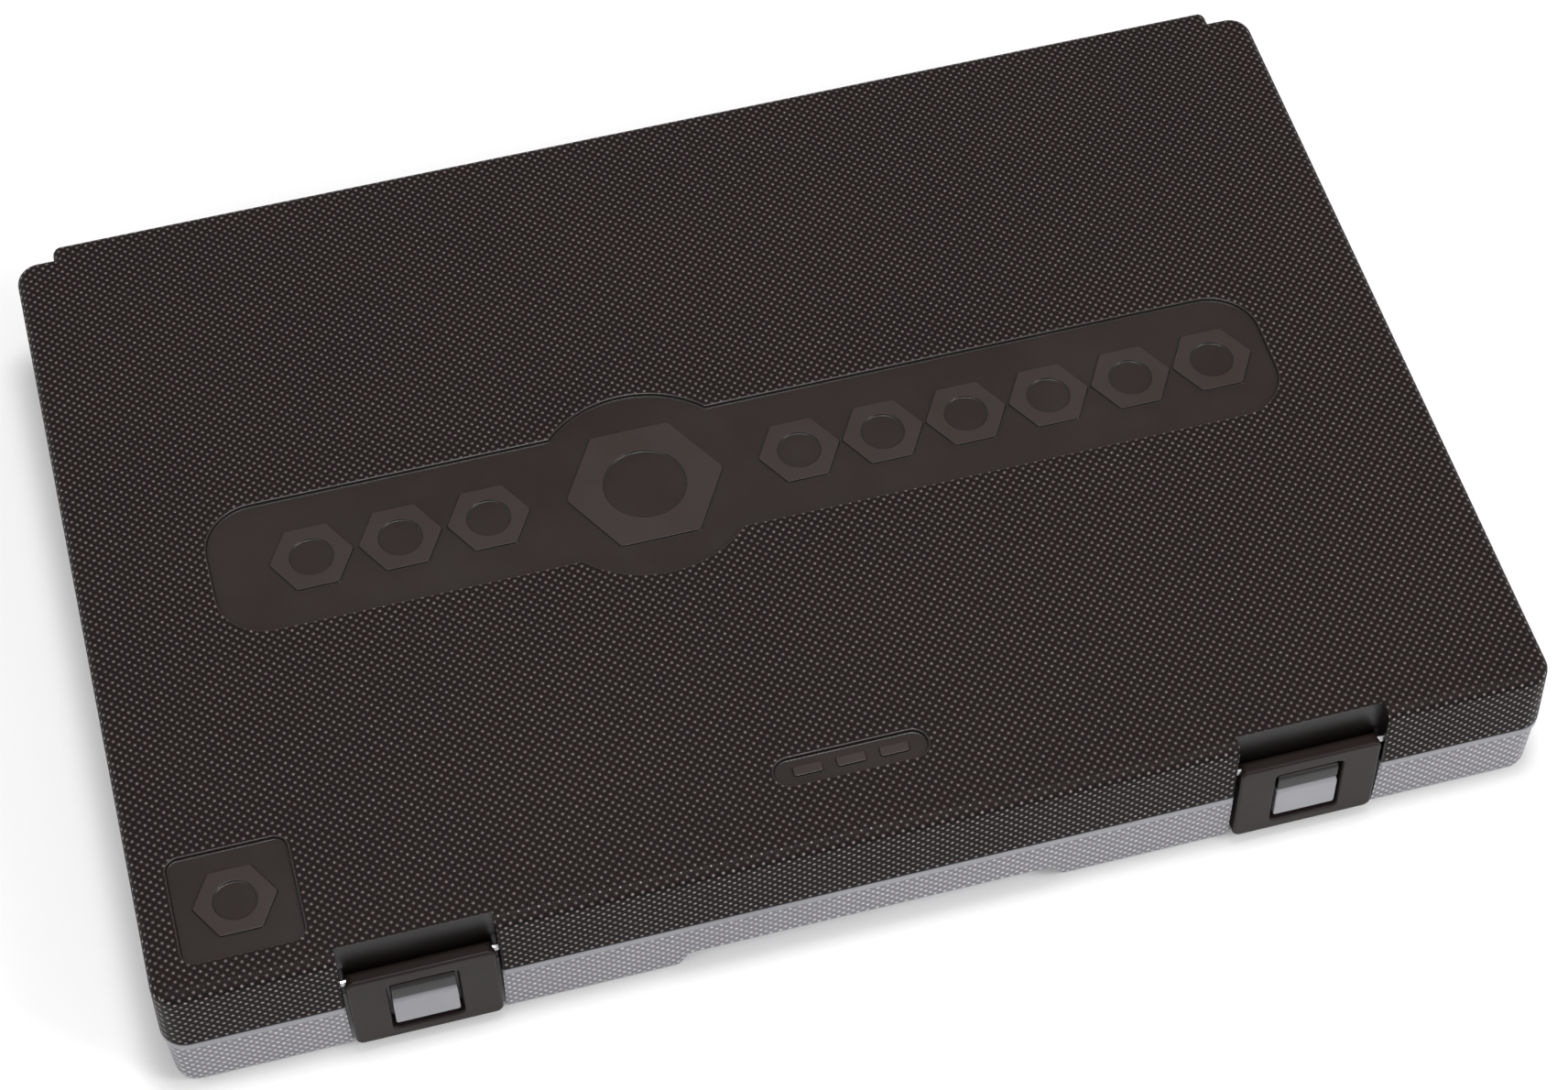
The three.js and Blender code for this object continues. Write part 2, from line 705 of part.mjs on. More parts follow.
function addUniversalJoint() {
  const place = group(socketSet, UJOINT.x, UJOINT.y, UJOINT.z);
  const { hub, pinRadius } = YOKE;
  const fixedHub = turned([
    [0, -27],
    [DRIVE.endRadius - 0.8, -27],
    [DRIVE.endRadius, -26.2],
    [DRIVE.endRadius, -hub],
    [0, -hub],
  ]);
  const fixedYoke = cut(joined([fixedHub, ...yokeEars('z', -1)]), [
    femaleDrive(-28, -27 + DRIVE.depth),
    rod('z', pinRadius + GAP, -10, 10, [0, 0], 12),
  ]);
  add(place, 'universal_joint_yoke', fixedYoke, CHROME);
  const cross = joined([
    box(-4, 4, -4, 4, -4, 4),
    rod('x', pinRadius, -7.9, 7.9, [0, 0], 12),
    rod('z', pinRadius, -7.9, 7.9, [0, 0], 12),
  ]);
  add(place, 'universal_joint_cross', cross, DARK_STEEL);
  const freeHub = turned([
    [0, hub],
    [DRIVE.endRadius, hub],
    [DRIVE.endRadius, 17],
    [6.6, 20],
    [0, 20],
  ]);
  const reach = 30.5;
  const square = solid(new THREE.BoxGeometry(DRIVE.square, 12, DRIVE.square).translate(0, reach - 6, 0));
  const freeYoke = cut(joined([freeHub, square, ...yokeEars('x', 1)]), [
    rod('x', pinRadius + GAP, -10, 10, [0, 0], 12),
    ballSeat(reach - BALL.fromEnd),
  ]);
  add(place, 'universal_joint_drive', freeYoke, CHROME);
  const lift = DRIVE.square / 2 - BALL.radius + BALL.rise;
  add(place, 'universal_joint_ball', ball(BALL.radius, 0, reach - BALL.fromEnd, lift), PIN_STEEL);
}

// ---------------------------------------------------------------- the ratchet

// About the drive's axis: the handle reaches to +X, the square points down.
const HEAD = {
  neckX: 18,
  neckRadius: 9.6,
  coverRadius: 12.8,
  coverNeckX: 16,
  coverNeckRadius: 8,
  coverSeat: 4.15, // height of the seat that the cover lies on
  gearRadius: 10.3,
  gearRoot: 9.4,
  gearTeeth: 24,
  leverX: 15.6,
  shankHalf: 6.4,
  gripFrom: 72,
};

function ratchetBody() {
  const top = RATCHET.thickness / 2;
  const head = prism(pear(RATCHET.headRadius, HEAD.neckX, HEAD.neckRadius), -top, top, 8);
  const shank = prismX(roundedRectangle(-HEAD.shankHalf, HEAD.shankHalf, -4.6, 4.6, 2), 20, 70, 2);
  const collar = prismX(roundedRectangle(-8, 8, -5.6, 5.6, 3), 66, 71.5, 2);
  const tang = box(70, 176, -5, 5, -3, 3);
  const coverSeat = pear(HEAD.coverRadius, HEAD.coverNeckX, HEAD.coverNeckRadius);
  return cut(joined([head, shank, collar, tang]), [
    prism(coverSeat, HEAD.coverSeat, top + 1, 7),
    rod('z', 11, -4.2, top + 1, [0, 0], 20),
    rod('z', 8, -top - 1, 0, [0, 0], 16),
    rod('z', 5.9, -3.2, top + 1, [HEAD.leverX, 0], 14),
    ...[-1, 1].map((side) => rod('z', 0.95, 0, top, [9.8, side * 9.2], 8)),
  ]);
}

function gearOutline() {
  const points = [];
  for (let i = 0; i < HEAD.gearTeeth * 2; i += 1) {
    const angle = (i * Math.PI) / HEAD.gearTeeth;
    const radius = i % 2 ? HEAD.gearRoot : HEAD.gearRadius;
    points.push([radius * Math.cos(angle), radius * Math.sin(angle)]);
  }
  return polygon(points);
}

const SQUARE_FOOT = -16.5;
const BUTTON = { radius: 2.1, low: -3, high: 8.3 };
const DETENT = { z: -12, lift: 3.75, radius: 1.6 };

function driveGear() {
  const half = DRIVE.square / 2;
  return cut(
    joined([
      prism(gearOutline(), -3.8, 3.8),
      rod('z', 7.5, -6, -3.5, [0, 0], 16),
      rod('z', 4.6, 3.5, 6.2, [0, 0], 12),
      box(-half, half, -half, half, SQUARE_FOOT, -5.8),
    ]),
    [
      rod('z', BUTTON.radius + GAP, -13.4, 8, [0, 0], 12),
      rod('x', DETENT.radius + 0.2, -half - 1, 0, [0, DETENT.z], 10),
    ],
  );
}

function releaseSpring() {
  class Coil extends THREE.Curve {
    getPoint(t) {
      const angle = t * 4 * 2 * Math.PI;
      return new THREE.Vector3(1.5 * Math.cos(angle), 1.5 * Math.sin(angle), -9.2 + t * 5.6);
    }
  }
  const wire = regularPolygon(4, 0.3);
  return solid(new THREE.ExtrudeGeometry(wire, { steps: 24, extrudePath: new Coil(), bevelEnabled: false }));
}

function coverPlate() {
  const outline = pear(HEAD.coverRadius - GAP, HEAD.coverNeckX, HEAD.coverNeckRadius - GAP);
  return cut(prism(outline, HEAD.coverSeat + GAP, 5.75, 6), [
    rod('z', 5, 3, 8, [0, 0], 12),
    rod('z', 2.9, 3, 8, [HEAD.leverX, 0], 12),
    ...[-1, 1].map((side) => rod('z', 1.25, 3, 8, [9.8, side * 9.2], 10)),
  ]);
}

function coverScrew(side) {
  const [x, y] = [9.8, side * 9.2];
  const shank = rod('z', 0.7, 1, 6, [x, y], 8);
  const neck = rod('z', 0.9, 5.9, 6.1, [x, y], 8);
  const flat = rod('z', 1.7, 6.05, 6.8, [x, y], 12);
  return joined([shank, neck, flat]);
}

function reverseLever() {
  const stem = rod('z', 2.3, -2.6, 6.6, [0, 0], 12);
  const blade = prism(pear(5.2, 11, 2.6), 6.3, 8.6, 8);
  const thumb = box(9, 12.4, -2, 2, 8, 9.8);
  return joined([stem, blade, thumb]);
}

// The pawl rocks on the lever's stem. It is drawn lifted clear, as it stands between two clicks.
function pawlBody() {
  const outline = new THREE.Shape();
  outline.absarc(0, 0, 4.9, Math.PI * 0.78, Math.PI * 1.22);
  outline.lineTo(1.6, -4.4);
  outline.lineTo(4.4, -1.8);
  outline.lineTo(4.4, 1.8);
  outline.lineTo(1.6, 4.4);
  outline.closePath();
  return cut(prism(outline, -2.9, 3.7), [rod('z', 2.6, -4, 5, [0, 0], 12)]);
}

function ratchetGrip() {
  const from = HEAD.gripFrom;
  const profile = [
    [0, from],
    [8.6, from],
    [10.2, from + 3],
    [9.6, from + 14],
    [12, from + 40],
    [12.4, from + 80],
    [10.6, from + 104],
    [12.2, from + 112],
    [10.4, from + 119],
    [0, RATCHET.length],
  ];
  const points = profile.map(([radius, y]) => new THREE.Vector2(radius, y));
  const oval = new THREE.LatheGeometry(points, 16).rotateZ(-Math.PI / 2).scale(1, 1, 0.76);
  return cut(solid(oval), [box(60, 176 + GAP, -5 - GAP, 5 + GAP, -3 - GAP, 3 + GAP)]);
}

function addRatchet() {
  const place = group(socketSet, RATCHET.x, RATCHET.y, RATCHET.z);
  add(place, 'ratchet_body', ratchetBody(), CHROME);
  add(place, 'ratchet_grip', ratchetGrip(), GRIP_RUBBER);
  add(place, 'ratchet_drive_gear', driveGear(), CHROME);
  add(place, 'ratchet_cover_plate', coverPlate(), CHROME);
  add(place, 'cover_screw_front', coverScrew(-1), DARK_STEEL);
  add(place, 'cover_screw_rear', coverScrew(1), DARK_STEEL);
  add(place, 'ratchet_pawl', pawlBody(), DARK_STEEL, [HEAD.leverX, 0, 0]);
  const lever = add(place, 'reverse_lever', reverseLever(), CHROME, [HEAD.leverX, 0, 0]);
  lever.rotation.z = -Math.PI / 8;
  add(place, 'release_button', rod('z', BUTTON.radius, BUTTON.low, BUTTON.high, [0, 0], 12), DARK_STEEL);
  add(place, 'release_spring', releaseSpring(), DARK_STEEL);
  add(place, 'drive_ball', ball(DETENT.radius, -DETENT.lift, 0, DETENT.z), PIN_STEEL);
}

// ---------------------------------------------------------------- the tray

// Each pocket is drawn twice: once as the space itself, and once grown into the skin around it.
function boxPocket(x0, x1, y0, y1, floor) {
  return (wall, bottom, top) => box(x0 - wall, x1 + wall, y0 - wall, y1 + wall, floor - bottom, top);
}

function discPocket(x, y, radius, floor) {
  return (wall, bottom, top) => rod('z', radius + wall, floor - bottom, top, [x, y], 20);
}

// A pocket with a half-round floor of the given radius about its own axis.
function cradleOutline(centre, z, radius, wall, bottom, top) {
  const shape = new THREE.Shape();
  const deep = radius + bottom;
  const wide = radius + wall;
  const level = Math.min(z, top - 0.5);
  shape.absellipse(centre, level, wide, deep - (z - level), Math.PI, 2 * Math.PI);
  shape.lineTo(centre + wide, top);
  shape.lineTo(centre - wide, top);
  shape.closePath();
  return shape;
}

function cradleY(x, z, radius, y0, y1) {
  return (wall, bottom, top) => {
    const outline = cradleOutline(x, z, radius, wall, bottom, top);
    return prismY(outline, y0 - wall, y1 + wall, wall ? 2 : 4);
  };
}

function cradleX(y, z, radius, x0, x1) {
  return (wall, bottom, top) => {
    const outline = cradleOutline(y, z, radius, wall, bottom, top);
    return prismX(outline, x0 - wall, x1 + wall, wall ? 2 : 4);
  };
}

function pockets() {
  const { shortLow, shortHigh, deepLow, deepHigh, floor } = CHANNEL;
  const list = [];
  for (const { x, radius } of SHORT_PLACES) {
    list.push(cradleY(x, SOCKET_Z, radius + 0.4, SHORT_ROW.driveY - 0.8, shortLow + 2));
  }
  for (const { x, radius } of DEEP_PLACES) {
    list.push(cradleY(x, SOCKET_Z, radius + 0.4, deepHigh - 2, DEEP_ROW.driveY + 0.8));
  }
  const reach = TRAY.usableHalfWidth + 1;
  list.push(boxPocket(-reach, reach, shortLow, shortHigh, floor));
  list.push(boxPocket(-reach, reach, deepLow, deepHigh, floor));
  const barRadius = DRIVE.endRadius + 0.5;
  list.push(cradleX(BAR.y, BAR.z, barRadius, BAR.longX - 0.8, BAR.longX + BAR.longLength + 0.8));
  list.push(cradleX(BAR.y, BAR.z, barRadius, BAR.shortX - 0.8, BAR.shortX + BAR.shortLength + 0.8));
  list.push(boxPocket(-86, -62, shortHigh - 1, BAR.y + 6, 9));
  list.push(boxPocket(42, 62, shortHigh - 1, BAR.y + 6, 9));
  const { x, y } = RATCHET;
  list.push(discPocket(x, y, 8.6, 3.9));
  list.push(boxPocket(x + 70, x + RATCHET.length + 1.5, y - 13.4, y + 13.4, 10.7));
  list.push(boxPocket(x + 116, x + 142, y - 19, y + 19, 8));
  const joint = UJOINT;
  list.push(cradleY(joint.x, joint.z, DRIVE.endRadius + 0.5, joint.y - 28, joint.y - 8));
  list.push(boxPocket(joint.x - joint.swing, joint.x + joint.swing, joint.y - 11, joint.y + joint.reach, 4));
  return list;
}

function baseTray() {
  const { top, foot, halfWidth, front, rear, skin, pocketWall, pocketFloor } = TRAY;
  const area = { x0: -halfWidth, x1: halfWidth, y0: front, y1: rear, radius: 5 };
  const block = roundedSlab(area, [[foot, 2.2], [foot + 2.2, 1.4], [top, 0]], 3);
  const under = { x0: skin - halfWidth, x1: halfWidth - skin, y0: front + skin, y1: rear - skin, radius: 4 };
  const hollow = roundedSlab(under, [[foot - 1, 2.2], [foot + 2.2, 1.4], [top - skin, 0]], 3);
  const { flangeHalfWidth: wide, flangeHalfDepth: deep, flangeThickness } = TRAY;
  const flangeArea = { x0: -wide, x1: wide, y0: -deep, y1: deep, radius: 4 };
  const flange = roundedSlab(flangeArea, [[top - flangeThickness, 0.3], [top, 0]], 3);
  const notches = latchSpaces(LATCH.recessWidth / 2 + 4, LATCH.recessY + 2.6, foot - 2, top + 2);
  const gripReach = GRIP.halfWidth + 9;
  const gripTop = GRIP.height + CASE.wall + 0.5;
  const gripNotch = box(-gripReach, gripReach, front - 2, GRIP.y + CASE.wall + 0.5, foot - 2, gripTop);
  const spaces = pockets();
  const walls = spaces.map((pocket) => pocket(pocketWall, pocketFloor, top));
  const shell = cut(block, [hollow]);
  return cut(joined([shell, flange, ...walls]), [
    ...spaces.map((pocket) => pocket(0, 0, top + 2)),
    ...notches,
    gripNotch,
  ]);
}

// ---------------------------------------------------------------- assembly

addCase();
add(socketSet, 'base_tray', baseTray(), TRAY_PLASTIC);
addSockets(SHORT_ROW, SHORT_PLACES, 'short');
addSockets(DEEP_ROW, DEEP_PLACES, 'deep');
addExtensions();
addUniversalJoint();
addRatchet();

export default socketSet;
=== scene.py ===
"""The looks of a socket wrench set in its case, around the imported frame.

Lengths in the mesh code are millimetres, and each mesh is scaled to metres when it becomes an object.
+Z is up, +X is to the right, and the latches face -Y.
"""
import json
import math

import bmesh
import bpy
from mathutils import Matrix, Vector


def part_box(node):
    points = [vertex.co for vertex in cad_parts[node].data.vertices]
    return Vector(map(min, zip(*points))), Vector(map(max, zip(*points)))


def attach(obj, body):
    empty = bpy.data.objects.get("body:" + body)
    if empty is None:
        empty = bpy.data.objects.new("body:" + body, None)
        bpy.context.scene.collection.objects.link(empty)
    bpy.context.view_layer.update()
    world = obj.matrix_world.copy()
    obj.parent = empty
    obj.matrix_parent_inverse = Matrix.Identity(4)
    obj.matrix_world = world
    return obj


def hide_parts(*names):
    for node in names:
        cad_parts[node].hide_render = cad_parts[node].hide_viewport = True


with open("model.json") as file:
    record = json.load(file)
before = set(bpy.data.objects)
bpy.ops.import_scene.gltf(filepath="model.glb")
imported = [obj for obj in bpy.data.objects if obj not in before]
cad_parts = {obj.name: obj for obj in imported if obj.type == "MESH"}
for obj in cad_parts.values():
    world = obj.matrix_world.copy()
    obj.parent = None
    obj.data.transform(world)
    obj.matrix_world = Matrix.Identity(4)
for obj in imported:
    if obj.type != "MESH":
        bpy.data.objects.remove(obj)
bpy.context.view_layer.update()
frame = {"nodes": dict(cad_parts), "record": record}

MM = 0.001
SHARP_ANGLE = math.radians(32)


def corners_mm(node):
    """A CAD node's lowest and highest corner, in millimetres."""
    low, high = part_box(node)
    return [c / MM for c in low], [c / MM for c in high]


def centre_mm(node):
    """The middle of a CAD node's box, in millimetres."""
    return [(a + b) / 2 for a, b in zip(*corners_mm(node))]


def smooth_step(t):
    return t * t * (3 - 2 * t)


# ---------------------------------------------------------------- outlines and lofts


def arc(cx, cy, radius, start, end, steps):
    """Points on a circle, from angle start to angle end in degrees, both included."""
    turns = [math.radians(start + (end - start) * i / steps) for i in range(steps + 1)]
    return [(cx + radius * math.cos(t), cy + radius * math.sin(t)) for t in turns]


def rounded_rectangle(x0, x1, y0, y1, radius, inset=0.0, steps=8):
    """Anticlockwise from the lower right corner. The radius shrinks with the inset."""
    r = max(radius - inset, 0.15)
    x0, x1, y0, y1 = x0 + inset, x1 - inset, y0 + inset, y1 - inset
    return (
        arc(x1 - r, y0 + r, r, -90, 0, steps)
        + arc(x1 - r, y1 - r, r, 0, 90, steps)
        + arc(x0 + r, y1 - r, r, 90, 180, steps)
        + arc(x0 + r, y0 + r, r, 180, 270, steps)
    )


def circle(cx, cy, radius, inset=0.0, steps=48):
    return arc(cx, cy, radius - inset, 0, 360 - 360 / steps, steps - 1)


def rounded_polygon(sides, radius, cx, cy, corner, inset=0.0, steps=4):
    """A regular polygon with rounded corners. radius is from its centre to a sharp corner."""
    half = math.pi / sides
    flat = radius * math.cos(half) - inset
    corner = max(corner - inset, 0.1)
    reach = (flat - corner) / math.cos(half)
    points = []
    for i in range(sides):
        turn = 360 * i / sides
        x = cx + reach * math.cos(math.radians(turn))
        y = cy + reach * math.sin(math.radians(turn))
        points += arc(x, y, corner, turn - 180 / sides, turn + 180 / sides, steps)
    return points


def level_rings(outline, levels, place=lambda x, y, z: (x, y, z)):
    """One ring of an outline at each (height, inset). place turns (x, y, height) into row axes."""
    return [[place(x, y, z) for x, y in outline(inset)] for z, inset in levels]


def fillet(z_from, inset_from, z_to, inset_to, steps=4, bulging=True):
    """Levels round a quarter turn between two (height, inset) pairs."""
    levels = []
    for i in range(steps + 1):
        t = math.pi / 2 * i / steps
        a, b = (1 - math.cos(t), math.sin(t)) if bulging else (math.sin(t), 1 - math.cos(t))
        levels.append((z_from + (z_to - z_from) * b, inset_from + (inset_to - inset_from) * a))
    return levels


def stand_y(x, z, y):
    """An outline in X and Z, carried along -Y, so that its faces still point out."""
    return (x, -y, z)


def loft(rings, closed=False):
    """(vertices, faces) of a skin over equal rings, capped at both ends unless it closes on itself."""
    count = len(rings[0])
    vertices = [point for ring in rings for point in ring]
    faces = []
    spans = len(rings) if closed else len(rings) - 1
    for k in range(spans):
        a, b = k * count, ((k + 1) % len(rings)) * count
        faces += [(a + i, a + (i + 1) % count, b + (i + 1) % count, b + i) for i in range(count)]
    if not closed:
        last = (len(rings) - 1) * count
        faces.append(tuple(range(count - 1, -1, -1)))
        faces.append(tuple(range(last, last + count)))
    return vertices, faces


def solid(outline, levels, *place):
    return loft(level_rings(outline, levels, *place))


def chamfered(start, end, chamfer):
    """(height, inset) levels of a bar with both ends chamfered."""
    return [(start, chamfer), (start + chamfer, 0), (end - chamfer, 0), (end, chamfer)]


# ---------------------------------------------------------------- objects and booleans


def new_object(name, parts, surfaces, slot_of=None):
    """One object from (vertices, faces) parts in millimetres. slot_of gives each part's surface."""
    vertices, faces, slots = [], [], []
    for number, (part_vertices, part_faces) in enumerate(parts):
        start = len(vertices)
        vertices += [tuple(c * MM for c in v) for v in part_vertices]
        faces += [tuple(start + i for i in face) for face in part_faces]
        slots += [slot_of[number] if slot_of else 0] * len(part_faces)
    mesh = bpy.data.meshes.new(name)
    mesh.from_pydata(vertices, [], faces)
    for surface in surfaces:
        mesh.materials.append(surface)
    mesh.polygons.foreach_set("material_index", slots)
    work = bmesh.new()
    work.from_mesh(mesh)
    bmesh.ops.remove_doubles(work, verts=work.verts, dist=1e-7)
    bmesh.ops.recalc_face_normals(work, faces=work.faces)
    work.to_mesh(mesh)
    work.free()
    piece = bpy.data.objects.new(name, mesh)
    bpy.context.scene.collection.objects.link(piece)
    return piece


def apply_modifiers(piece):
    graph = bpy.context.evaluated_depsgraph_get()
    mesh = bpy.data.meshes.new_from_object(piece.evaluated_get(graph))
    old = piece.data
    piece.modifiers.clear()
    piece.data = mesh
    mesh.name = piece.name
    bpy.data.meshes.remove(old)


def combine(piece, tool, operation):
    """Joins or cuts piece with tool, which is used up."""
    step = piece.modifiers.new("combine", "BOOLEAN")
    step.operation = operation
    step.object = tool
    step.solver = "EXACT"
    bpy.context.view_layer.update()
    apply_modifiers(piece)
    bpy.data.objects.remove(tool)


def carve(piece, *parts, surface=0):
    tool = new_object("tool", parts, piece.data.materials, [surface] * len(parts))
    combine(piece, tool, "DIFFERENCE")


def fuse(piece, *parts, surface=0):
    tool = new_object("tool", parts, piece.data.materials, [surface] * len(parts))
    combine(piece, tool, "UNION")


def finish_mesh(piece, angle=SHARP_ANGLE):
    """Smooth shading that keeps flat faces flat and hard corners hard."""
    mesh = piece.data
    mesh.validate()
    mesh.shade_smooth()
    mesh.set_sharp_from_angle(angle=angle)
    step = piece.modifiers.new("flat_faces_lead", "WEIGHTED_NORMAL")
    step.keep_sharp = True
    step.weight = 80
    bpy.context.view_layer.update()
    apply_modifiers(piece)


def place(piece, body, slot, *nodes):
    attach(piece, body)
    if nodes:
        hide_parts(*nodes)


def finish(piece, body, slot, node, angle=SHARP_ANGLE):
    """Shades a finished mesh and puts it in the place of its CAD node."""
    finish_mesh(piece, angle)
    place(piece, body, slot, node)


# ---------------------------------------------------------------- materials


class Surface:
    """A node material, with short names for the nodes that these surfaces share."""

    def __init__(self, name):
        self.material = bpy.data.materials.new(name)
        self.material.use_nodes = True
        self.tree = self.material.node_tree
        self.shader = self.tree.nodes["Principled BSDF"]
        self.height = None

    def node(self, kind, **values):
        node = self.tree.nodes.new(kind)
        for key, value in values.items():
            setattr(node, key, value)
        return node

    def link(self, out, into):
        self.tree.links.new(out, into)

    def feed(self, socket, value):
        if isinstance(value, bpy.types.NodeSocket):
            self.link(value, socket)
        else:
            socket.default_value = value

    def math(self, operation, a, b=0.0, c=0.0):
        node = self.node("ShaderNodeMath", operation=operation)
        for socket, value in zip(node.inputs, (a, b, c)):
            self.feed(socket, value)
        return node.outputs[0]

    def spot(self):
        """The point on the surface, in metres."""
        return self.node("ShaderNodeTexCoord").outputs["Object"]

    def along_z(self, vector):
        split = self.node("ShaderNodeSeparateXYZ")
        self.link(vector, split.inputs[0])
        return split.outputs[2]

    def stretched(self, x, y, z):
        node = self.node("ShaderNodeMapping")
        node.inputs["Scale"].default_value = (x, y, z)
        self.link(self.spot(), node.inputs["Vector"])
        return node.outputs[0]

    def noise(self, size, detail=2.0, roughness=0.5, vector=None):
        """Noise from 0 to 1 with features about size metres across."""
        node = self.node("ShaderNodeTexNoise")
        node.inputs["Scale"].default_value = 1 / size
        node.inputs["Detail"].default_value = detail
        node.inputs["Roughness"].default_value = roughness
        self.link(vector or self.spot(), node.inputs["Vector"])
        return node.outputs["Fac"]

    def remap(self, value, low, high, to_low, to_high, smooth=False):
        node = self.node("ShaderNodeMapRange")
        if smooth:
            node.interpolation_type = "SMOOTHSTEP"
        for name, number in zip(("From Min", "From Max", "To Min", "To Max"), (low, high, to_low, to_high)):
            node.inputs[name].default_value = number
        self.feed(node.inputs["Value"], value)
        return node.outputs["Result"]

    def mixed(self, factor, first, second):
        """A colour between two, each three numbers or a colour socket."""
        node = self.node("ShaderNodeMix", data_type="RGBA")
        self.feed(node.inputs["Factor"], factor)
        for socket, colour in ((node.inputs["A"], first), (node.inputs["B"], second)):
            self.feed(socket, colour if isinstance(colour, bpy.types.NodeSocket) else (*colour, 1))
        return node.outputs["Result"]

    def bump(self, height, distance, strength=1.0):
        """Adds a layer of relief, distance metres high where height is 1."""
        node = self.node("ShaderNodeBump")
        node.inputs["Strength"].default_value = strength
        node.inputs["Distance"].default_value = distance
        self.link(height, node.inputs["Height"])
        if self.height is not None:
            self.link(self.height, node.inputs["Normal"])
        self.height = node.outputs["Normal"]
        self.link(self.height, self.shader.inputs["Normal"])

    def set(self, **values):
        for name, value in values.items():
            self.feed(self.shader.inputs[name.replace("_", " ")], value)


DOT_PITCH = 1.6  # millimetres between neighbours in the moulded pattern of dots
DOT_RADIUS = 0.56
DOT_HEIGHT = 0.30
FINE_GRAIN, COARSE_GRAIN = 0.000006, 0.00003  # metres
# Below this height the dots' painted glints are brighter and their painted shade darker.
LID_WALL_BELOW = 0.0388  # metres above the table
FIGURE_FROM = 0.0388  # between a sunk panel's floor and the tops of its figures
COAT_ROUGHNESS = 0.16


def moulded_plastic(
    name, dark, light, roughness, grain=0.000012, dots=False, wear_and_glint=None, gloss=0.5,
    wall_below=0.0, raised_from=0.0,
):
    """Injection-moulded plastic, of uneven tone and with a fine grain.

    dots adds small domes in a diagonal grid, with lighter tips in the tip colour given: a painted glint,
    partly real tip wear.
    The hollows between the domes get painted shade. Below wall_below the painted glints are brighter and
    the painted shade darker.
    Flat faces above raised_from are lighter, and steep faces everywhere, such as the edges round them, get
    painted shade.
    """
    s = Surface(name)
    tone = s.remap(s.noise(0.045, 3, 0.6), 0.3, 0.7, 0, 1)
    colour = s.mixed(tone, dark, light)
    specks = s.noise(0.0006, 2, 0.6)
    colour = s.mixed(s.remap(specks, 0.62, 0.8, 0, 0.25), colour, light)
    rough = s.remap(s.noise(0.018, 4, 0.65), 0.3, 0.7, roughness - 0.05, roughness + 0.06)
    if dots:
        place_uv = s.node("ShaderNodeUVMap", uv_map="dots")
        split = s.node("ShaderNodeSeparateXYZ")
        s.link(place_uv.outputs[0], split.inputs[0])
        across, along = split.outputs[0], split.outputs[1]
        step = 1 / (DOT_PITCH * math.sqrt(2))
        offsets = []
        for operation in ("ADD", "SUBTRACT"):
            cell = s.math("MULTIPLY", s.math(operation, across, along), step)
            offsets.append(s.math("SUBTRACT", s.math("FRACT", cell), 0.5))
        square = s.math("ADD", s.math("POWER", offsets[0], 2), s.math("POWER", offsets[1], 2))
        away = s.math("MULTIPLY", s.math("SQRT", square), DOT_PITCH)
        dome = s.remap(away, DOT_RADIUS, 0.08, 0, 1, smooth=True)
        s.bump(dome, DOT_HEIGHT * MM)
        # The hollows between the domes are darkened: painted shade.
        hollow_shade = tuple(c * 0.6 for c in dark)
        # On the walls the tips get brighter painted glints and the hollows deeper painted shade.
        if wall_below:
            wall = s.remap(s.along_z(s.spot()), wall_below, wall_below - 0.0012, 0, 1, smooth=True)
            wear_and_glint = s.mixed(wall, wear_and_glint, tuple(c * 2.1 for c in wear_and_glint))
            hollow_shade = s.mixed(wall, hollow_shade, tuple(c * 0.3 for c in hollow_shade))
        colour = s.mixed(s.remap(away, 0.75, 0.35, 0, 1, smooth=True), hollow_shade, colour)
        # The tips are lightened: a painted glint, partly real tip wear. The coat on them is real gloss.
        tip = s.remap(away, 0.46, 0.12, 0, 1, smooth=True)
        glint_and_polish = s.math("MULTIPLY", tip, s.remap(s.noise(0.0011, 2, 0.5), 0.35, 0.65, 0.5, 1.0))
        colour = s.mixed(glint_and_polish, colour, wear_and_glint)
        rough = s.math("SUBTRACT", rough, s.math("MULTIPLY", tip, 0.16))
        s.set(Coat_Weight=glint_and_polish)
        s.shader.inputs["Coat Roughness"].default_value = COAT_ROUGHNESS
    if raised_from:
        raised = s.remap(s.along_z(s.spot()), raised_from, raised_from + 0.0003, 0, 0.8)
        colour = s.mixed(raised, colour, tuple(c * 1.7 for c in light))
        # Steep faces are darkened: painted shade along the figures' edges, the recess walls and other steep
        # faces.
        upright = s.math("ABSOLUTE", s.along_z(s.node("ShaderNodeNewGeometry").outputs["True Normal"]))
        colour = s.mixed(s.remap(upright, 0.97, 0.75, 0, 0.85), colour, tuple(c * 0.1 for c in dark))
    s.bump(s.noise(0.00022, 3, 0.6), grain)
    s.link(s.height, s.shader.inputs["Coat Normal"])
    s.set(Base_Color=colour, Roughness=rough)
    s.shader.inputs["Specular IOR Level"].default_value = gloss
    return s.material


